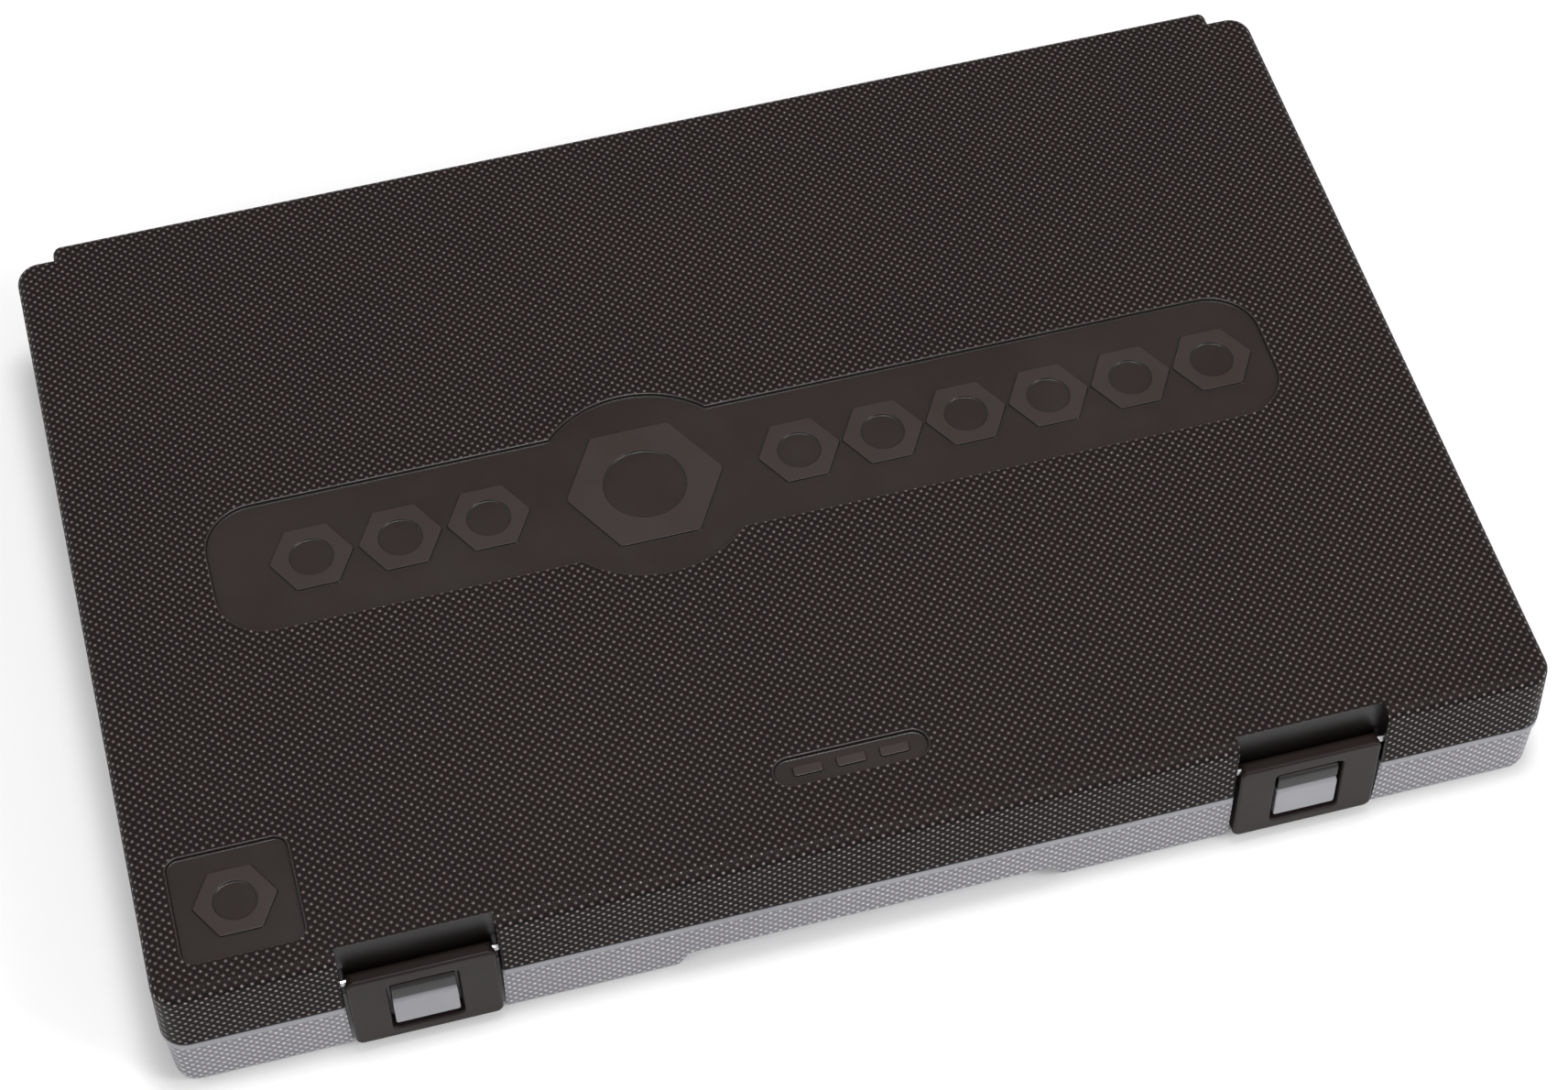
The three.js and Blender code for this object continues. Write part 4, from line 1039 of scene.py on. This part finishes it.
def make_universal_joint():
    centre = cx, cy, cz = centre_mm("universal_joint_cross")
    hole = 2.35
    hub = female_end(DRIVE_END_RADIUS) + ring_groove(4.0, DRIVE_END_RADIUS)
    hub += [(15.6, round_section(DRIVE_END_RADIUS)), (16.6, round_section(DRIVE_END_RADIUS - 0.25))]
    hub.append((17.0, round_section(DRIVE_END_RADIUS - 0.9)))
    yoke = new_object("universal_joint_yoke_fine", [loft(stations(hub, axis_y(cx, cy - 27, cz)))], [CHROME])
    for part in yoke_ears("z", -1, centre):
        fuse(yoke, part)
    carve(yoke, rod_z(cx, cy, cz - 12, cz + 12, hole))
    free = [(10.0, round_section(DRIVE_END_RADIUS - 0.9)), (10.4, round_section(DRIVE_END_RADIUS - 0.25))]
    free += [(11.2, round_section(DRIVE_END_RADIUS)), (17.0, round_section(DRIVE_END_RADIUS))]
    free += [(19.4, round_section(6.9))] + male_end(20.0, 30.5, 6.6)
    drive = new_object("universal_joint_drive_fine", [loft(stations(free, axis_y(cx, cy, cz)))], [CHROME])
    for part in yoke_ears("x", 1, centre):
        fuse(drive, part)
    carve(drive, rod_x(cx - 12, cx + 12, cy, cz, hole))
    carve(drive, ball_seat(cx, cy + 26.3, cz))
    block_levels = [(cz - 4, 0.6), (cz - 3.4, 0.0), (cz + 3.4, 0.0), (cz + 4, 0.6)]
    middle = slab((cx - 4, cx + 4, cy - 4, cy + 4, 0.8), block_levels, 3)
    cross = new_object("universal_joint_cross_fine", [middle], [DARK_STEEL])
    fuse(cross, rod_x(cx - 7.9, cx + 7.9, cy, cz, 2.1, 0.4))
    fuse(cross, rod_z(cx, cy, cz - 7.9, cz + 7.9, 2.1, 0.4))
    for piece, body, slot, node in (
        (yoke, "base", "chrome_steel", "universal_joint_yoke"),
        (drive, "universal_joint_drive", "chrome_steel", "universal_joint_drive"),
        (cross, "universal_joint_cross", "dark_steel", "universal_joint_cross"),
    ):
        finish(piece, body, slot, node)


# ---------------------------------------------------------------- the ratchet


def pear(cx, cy, radius, end_x, end_radius, inset=0.0, steps=28):
    """The tangent outline round two circles, the larger one at (cx, cy)."""
    lean = math.degrees(math.acos((radius - end_radius) / end_x))
    big = arc(cx, cy, radius - inset, lean, 360 - lean, steps)
    return big + arc(cx + end_x, cy, end_radius - inset, -lean, lean, steps)


def smooth_profile(points, steps):
    """Points on a smooth curve through (along, radius) pairs."""
    result = []
    for i in range(len(points) - 1):
        before, here = points[max(i - 1, 0)], points[i]
        after, beyond = points[i + 1], points[min(i + 2, len(points) - 1)]
        for step in range(steps):
            t = step / steps
            row = []
            for a, b, c, d in zip(before, here, after, beyond):
                square, cube = 2 * a - 5 * b + 4 * c - d, 3 * b - a - 3 * c + d
                row.append(0.5 * (2 * b + (c - a) * t + square * t**2 + cube * t**3))
            result.append(row)
    return result + [list(points[-1])]


def rounded_section(half_width, half_height, radius):
    """A rounded rectangle across a bar, as 48 points."""
    return rounded_rectangle(-half_width, half_width, -half_height, half_height, radius, steps=11)


def make_ratchet():
    body_low, body_high = corners_mm("ratchet_body")
    cx, cy, _ = centre_mm("ratchet_drive_gear")
    cz, top = (body_low[2] + body_high[2]) / 2, (body_high[2] - body_low[2]) / 2
    lever_x = 15.6
    head_levels = fillet(cz - top + 1.2, 0, cz - top, 1.2, 4)[::-1]
    head_levels += fillet(cz + top - 1.2, 0, cz + top, 1.2, 4)
    head = lambda inset: pear(cx, cy, 15.5, 18, 9.6, inset)
    body = new_object("ratchet_body_fine", [solid(head, head_levels)], [CHROME_X])
    # Each row is the distance along X, half the width, half the height and the corner radius.
    shank = [(19, 8.6, 4.9, 2.6), (23, 7.6, 4.8, 2.4), (28, 6.7, 4.65, 2.2)]
    shank += [(34, 6.4, 4.6, 2.1), (66, 6.4, 4.6, 2.1)]
    shank += [(66.4, 7.4, 5.1, 2.6), (67, 8.0, 5.6, 3.0), (70.8, 8.0, 5.6, 3.0), (71.5, 7.4, 5.1, 2.6)]
    shank += [(71.6, 4.4, 3.6, 1.5), (body_high[0] - cx, 4.4, 3.6, 1.5)]
    rings = stations([(x, rounded_section(w, h, r)) for x, w, h, r in shank], axis_x(cx, cy, cz))
    fuse(body, loft(rings))
    seat = lambda inset: pear(cx, cy, 12.8, 16, 8, inset)
    seat_levels = [(cz + 4.15, 0.0), (cz + top - 0.3, 0.0), (cz + top, -0.25), (cz + top + 1, -0.25)]
    carve(body, solid(seat, seat_levels))
    carve(body, rod_z(cx, cy, cz - 4.2, cz + top + 1, 11, steps=48))
    carve(body, rod_z(cx, cy, cz - top - 1, cz, 8, steps=48))
    carve(body, rod_z(cx + lever_x, cy, cz - 3.2, cz + top + 1, 5.9, steps=40))
    finish(body, "base", "chrome_steel", "ratchet_body")

    cover_levels = [(cz + 4.45, 0.0), (cz + top - 0.25, 0.0), (cz + top - 0.08, 0.08), (cz + top, 0.25)]
    cover_outline = lambda inset: pear(cx, cy, 12.5, 16, 7.7, inset)
    cover = new_object("ratchet_cover_fine", [solid(cover_outline, cover_levels)], [CHROME_Y])
    carve(cover, rod_z(cx, cy, cz, cz + 9, 5.0, steps=48))
    carve(cover, rod_z(cx + lever_x, cy, cz, cz + 9, 2.9, steps=32))
    for side in (-1, 1):
        carve(cover, rod_z(cx + 9.8, cy + side * 9.2, cz, cz + 9, 1.25, steps=24))
    finish(cover, "base", "chrome_steel", "ratchet_cover_plate")
    make_screws(cx, cy, cz)
    make_lever(cx + lever_x, cy, cz)
    make_button(cx, cy, cz)
    make_grip(cx, cy, cz)


def make_screws(cx, cy, cz):
    """Slotted pan-head screws."""
    for side, name in ((-1, "front"), (1, "rear")):
        x, y = cx + 9.8, cy + side * 9.2
        head = [(5.9, 0.8), (6.05, 0.8), (6.05, 0.0), (6.45, 0.0), (6.7, 0.25), (6.8, 0.7)]
        head = [(cz + height, inset) for height, inset in head]
        outline = lambda inset: circle(x, y, 1.7, inset, 32)
        screw = new_object(f"cover_screw_{name}_fine", [solid(outline, head)], [DARK_STEEL])
        fuse(screw, rod_z(x, y, cz + 1, cz + 6.0, 0.7, steps=20))
        carve(screw, block(x - 3, x + 3, y - 0.28, y + 0.28, cz + 6.4, cz + 8))
        finish(screw, "base", "dark_steel", f"cover_screw_{name}")


def make_lever(x, y, cz):
    """The reverse lever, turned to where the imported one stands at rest."""
    blade_outline = lambda inset: pear(0, 0, 5.2, 11, 2.6, inset)
    blade_levels = [(cz + 6.3, 0.3), (cz + 6.6, 0.0), (cz + 8.0, 0.0), (cz + 8.4, 0.2), (cz + 8.6, 0.6)]
    thumb_levels = [(cz + 8.2, 0.0), (cz + 9.2, 0.1), (cz + 9.6, 0.3), (cz + 9.8, 0.7)]
    parts = [
        solid(blade_outline, blade_levels),
        slab((9.0, 12.4, -2.0, 2.0, 0.8), thumb_levels, 4),
        rod_z(0, 0, cz - 2.6, cz + 6.6, 2.3),
    ]
    turn = Matrix.Rotation(-math.pi / 8, 3, "Z")
    placed = []
    for vertices, faces in parts:
        moved = [turn @ Vector(v) + Vector((x, y, 0)) for v in vertices]
        placed.append(([tuple(v) for v in moved], faces))
    lever = new_object("reverse_lever_fine", placed[:1], [CHROME])
    for part in placed[1:]:
        fuse(lever, part)
    finish(lever, "reverse_lever", "chrome_steel", "reverse_lever")


def make_button(cx, cy, cz):
    levels = [(-3.0, 0.3), (-2.7, 0.0), (7.6, 0.0), (8.05, 0.2), (8.25, 0.6), (8.3, 1.2)]
    levels = [(cz + height, inset) for height, inset in levels]
    outline = lambda inset: circle(cx, cy, 2.1, inset, 40)
    button = new_object("release_button_fine", [solid(outline, levels)], [DARK_STEEL])
    finish(button, "release_button", "dark_steel", "release_button")


def make_grip(cx, cy, cz):
    """A soft oval handle with a waist, a swell and a ringed end."""
    low, high = corners_mm("ratchet_grip")
    start, end = low[0] - cx, high[0] - cx
    swell = [(0, 7.4), (1.2, 9.6), (3.5, 10.1), (14, 9.6), (26, 10.8), (40, 12), (60, 12.3)]
    swell += [(80, 12.35), (94, 11.4), (104, 10.6), (112, 12.1)]
    points = [(start + along, radius) for along, radius in swell]
    points += [(end - 3.4, 10.8), (end - 1.0, 8.2), (end, 5.0)]
    rings = []
    for along, radius in smooth_profile(points, 6):
        since = along - start
        if 28 < since < 92:
            radius -= 0.42 * max(0.0, math.cos((since - 28) / 64 * 22 * math.pi)) ** 2
        section = [(u, v * 0.76) for u, v in round_section(radius)]
        rings.append((along, section))
    grip = new_object("ratchet_grip_fine", [loft(stations(rings, axis_x(cx, cy, cz)))], [GRIP_RUBBER])
    finish(grip, "base", "grip_rubber", "ratchet_grip", math.radians(50))


# ---------------------------------------------------------------- the tray and the liner

SOCKET_Z = 17.4
JOINT_Z = 13.0
TOOL_PLAY = 0.8  # free length at each end of a trough
CHANNEL_FRONT = (-64.7, -50.5)
CHANNEL_REAR = (20.5, 34.4)


def pocket(outline, floor, top, soft=0.9):
    """A cutter with a rounded foot and a rounded lip."""
    levels = [(floor, 0.9), (floor + 0.12, 0.45), (floor + 0.45, 0.12), (floor + 0.9, 0.0)]
    levels += [(top - soft, 0.0), (top - 0.45 * soft, -0.12 * soft), (top - 0.13 * soft, -0.45 * soft)]
    levels += [(top, -soft), (top + 2, -soft)]
    return solid(outline, levels)


def box_pocket(x0, x1, y0, y1, floor, top, radius=2.0):
    return pocket(lambda inset: rounded_rectangle(x0, x1, y0, y1, radius, inset, 5), floor, top)


def cradle(centre, z, radius, start, end, top, place_point):
    """A trough with a round floor and a soft lip, along one axis."""
    level = min(z, top - 0.5)
    deep = radius - (z - level)
    rings = []
    ends = [(start, 0.9), (start + 0.12, 0.4), (start + 0.5, 0)]
    ends += [(end - 0.5, 0), (end - 0.12, 0.4), (end, 0.9)]
    for along, inset in ends:
        ring = [(centre + radius + 0.8, top + 2), (centre - radius - 0.8, top + 2)]
        ring += [(centre - radius - 0.8, top), (centre - radius - 0.25, top - 0.15)]
        for i in range(25):
            t = math.pi + math.pi * i / 24
            u = centre + (radius - inset * 0.3) * math.cos(t)
            ring.append((u, level + (deep - inset) * math.sin(t)))
        ring += [(centre + radius + 0.25, top - 0.15), (centre + radius + 0.8, top)]
        rings.append([place_point(u, along, v) for u, v in ring])
    return loft(rings)


def make_tray():
    low, high = corners_mm("base_tray")
    top = high[2]
    area = (low[0], high[0], low[1], high[1], 4)
    levels = [(low[2], 3.6), (low[2] + 2.2, 2.8), (top - 1.4, 1.8)]
    levels += [(top - 1.2, 0.3), (top - 0.35, 0.0), (top, 0.35)]
    tray = new_object("base_tray_fine", [slab(area, levels)], [TRAY_PLASTIC])
    for x in LATCH_X.values():
        carve(tray, block(x - 21.5, x + 21.5, -HALF_D - 5, RECESS_Y + 2.6, 0, top + 2))
    carve(tray, block(-51, 51, low[1] - 2, -98.0, 0, 10.0))
    across = lambda u, along, v: (u, along, v)
    lengthways = lambda u, along, v: (along, u, v)
    troughs = []
    for _, s_low, s_high, x, _, short in sockets():
        radius = (s_high[0] - s_low[0]) / 2 + 0.4
        start = s_low[1] - TOOL_PLAY if short else CHANNEL_REAR[1] - 2
        end = CHANNEL_FRONT[0] + 2 if short else s_high[1] + TOOL_PLAY
        troughs.append(cradle(x, SOCKET_Z, radius, start, end, top, across))
    for name in ("long", "short"):
        b_low, b_high = corners_mm(f"extension_bar_{name}")
        _, y, z = centre_mm(f"extension_bar_{name}")
        ends = (b_low[0] - TOOL_PLAY, b_high[0] + TOOL_PLAY)
        troughs.append(cradle(y, z, DRIVE_END_RADIUS + 0.5, *ends, top, lengthways))
    for trough in troughs:
        carve(tray, trough)
    reach = 151
    for y0, y1 in (CHANNEL_FRONT, CHANNEL_REAR):
        carve(tray, box_pocket(-reach, reach, y0, y1, 6, top, 3))
    bar_low, _ = corners_mm("extension_bar_long")
    bar_y = bar_low[1] + DRIVE_END_RADIUS
    for x0, x1 in ((-86, -62), (42, 62)):
        carve(tray, box_pocket(x0, x1, CHANNEL_FRONT[1] - 1, bar_y + 6, 9, top))
    cx, cy, _ = centre_mm("ratchet_drive_gear")
    carve(tray, pocket(lambda inset: circle(cx, cy, 8.6, inset, 48), 3.9, top))
    carve(tray, box_pocket(cx + 70, cx + 193.5, cy - 13.4, cy + 13.4, 10.7, top, 4))
    carve(tray, box_pocket(cx + 116, cx + 142, cy - 19, cy + 19, 8, top, 4))
    ux, uy, _ = centre_mm("universal_joint_cross")
    carve(tray, cradle(ux, JOINT_Z, DRIVE_END_RADIUS + 0.5, uy - 28, uy - 8, top, across))
    carve(tray, box_pocket(ux - 24, ux + 24, uy - 11, uy + 31.5, 4, top, 2.5))
    finish(tray, "base", "tray_plastic", "base_tray")


def make_liner():
    """The lid's inner panel: a pan with a round edge, pressed lines and ribs over the sockets."""
    low, high = corners_mm("lid_liner")
    face = 33.2
    area = (low[0], high[0], low[1], high[1], 5)
    levels = [(face, 1.5), (face + 0.15, 0.9), (face + 0.5, 0.35), (face + 1.2, 0.0), (high[2], 0.0)]
    liner = new_object("lid_liner_fine", [slab(area, levels)], [LINER_PLASTIC])
    border = lambda inset: rounded_rectangle(low[0] + 7, high[0] - 7, low[1] + 7, high[1] - 7, 5, inset, 8)
    groove = [(face - 1, -0.6), (face, -0.6), (face + 0.35, -0.1), (face + 0.5, 0.3)]
    inner_edge = [(face + 0.5, 1.6), (face + 0.35, 2.0), (face, 2.5), (face - 1, 2.5)]
    outer = level_rings(border, groove)
    carve(liner, loft(outer + level_rings(border, inner_edge), closed=True))
    for y in (-88, -72, 48, 66, 84):
        rib = [(face - 1.8, 0.55), (face - 1.65, 0.2), (face - 1.3, 0.0), (face + 0.5, -0.15)]
        fuse(liner, slab((-140, 140, y - 1, y + 1, 0.9), rib, 5))
    finish(liner, "lid", "liner_plastic", "lid_liner")


# ---------------------------------------------------------------- stage, light and camera


def make_camera():
    """A long lens from the front, high and a little to the left."""
    camera = bpy.data.objects.new("camera", bpy.data.cameras.new("camera"))
    bpy.context.scene.collection.objects.link(camera)
    azimuth, elevation, roll = (math.radians(a) for a in (-13.794, 53.817, -1.340))
    distance, target = 0.856609, Vector((0.001291, -0.025846, TOP * MM))
    back = Vector(
        (
            math.sin(azimuth) * math.cos(elevation),
            -math.cos(azimuth) * math.cos(elevation),
            math.sin(elevation),
        )
    )
    right = Vector((math.cos(azimuth), math.sin(azimuth), 0))
    up = back.cross(right)
    leaned_right = right * math.cos(roll) + up * math.sin(roll)
    leaned_up = back.cross(leaned_right)
    turn = Matrix((leaned_right, leaned_up, back)).transposed().to_4x4()
    camera.matrix_world = Matrix.Translation(target + back * distance) @ turn
    camera.data.sensor_width = 36.0
    camera.data.lens = 84.94
    camera.data.clip_start = 0.05
    bpy.context.scene.camera = camera


def make_light(name, at, towards, size, power, colour=(1, 1, 1)):
    data = bpy.data.lights.new(name, "AREA")
    data.shape = "RECTANGLE"
    data.size, data.size_y = size
    data.energy = power
    data.color = colour
    lamp = bpy.data.objects.new(name, data)
    lamp.location = at
    lamp.rotation_euler = (Vector(towards) - Vector(at)).to_track_quat("-Z", "Y").to_euler()
    bpy.context.scene.collection.objects.link(lamp)


def make_studio():
    floor_surface = Surface("pale_floor")
    floor_surface.set(Base_Color=(0.86, 0.86, 0.86, 1), Roughness=0.9)
    reach = 3000
    corners = [(-reach, -reach, 0), (reach, -reach, 0), (reach, reach, 0), (-reach, reach, 0)]
    floor = new_object("floor", [(corners, [(0, 1, 2, 3)])], [floor_surface.material])
    make_world()
    make_light("overhead", (0.05, -0.04, 1.25), (0.0, 0.0, 0.0), (0.30, 0.30), 8.0)
    make_light("key_front_right", (0.85, -0.75, 0.95), (0.05, -0.05, 0.02), (0.45, 0.45), 7.0)
    make_light("fill_left", (-1.0, -0.9, 1.1), (0.0, 0.0, 0.02), (0.6, 0.6), 2.5)
    bpy.context.scene.view_settings.view_transform = "Standard"


def make_world():
    """A white tent that is open, and so darker, high up behind the case."""
    world = bpy.data.worlds.new("studio")
    world.use_nodes = True
    tree = world.node_tree
    background = tree.nodes["Background"]
    background.inputs["Color"].default_value = (1, 1, 1, 1)
    direction = tree.nodes.new("ShaderNodeTexCoord")
    towards_gap = tree.nodes.new("ShaderNodeVectorMath")
    towards_gap.operation = "DOT_PRODUCT"
    towards_gap.inputs[1].default_value = (0.18, 0.55, 0.81)
    ramp = tree.nodes.new("ShaderNodeMapRange")
    ramp.interpolation_type = "SMOOTHSTEP"
    for name, number in (("From Min", 0.45), ("From Max", 0.93), ("To Min", 0.98), ("To Max", 0.24)):
        ramp.inputs[name].default_value = number
    tree.links.new(direction.outputs["Generated"], towards_gap.inputs[0])
    tree.links.new(towards_gap.outputs["Value"], ramp.inputs["Value"])
    tree.links.new(ramp.outputs["Result"], background.inputs["Strength"])
    bpy.context.scene.world = world


# ---------------------------------------------------------------- making

make_camera()
make_studio()
dress_cad_nodes()
make_lid_shell()
make_base_shell()
for side in ("left", "right"):
    make_latch(side)
make_tray()
make_liner()
make_sockets()
make_inserts()
make_extensions()
make_universal_joint()
make_ratchet()
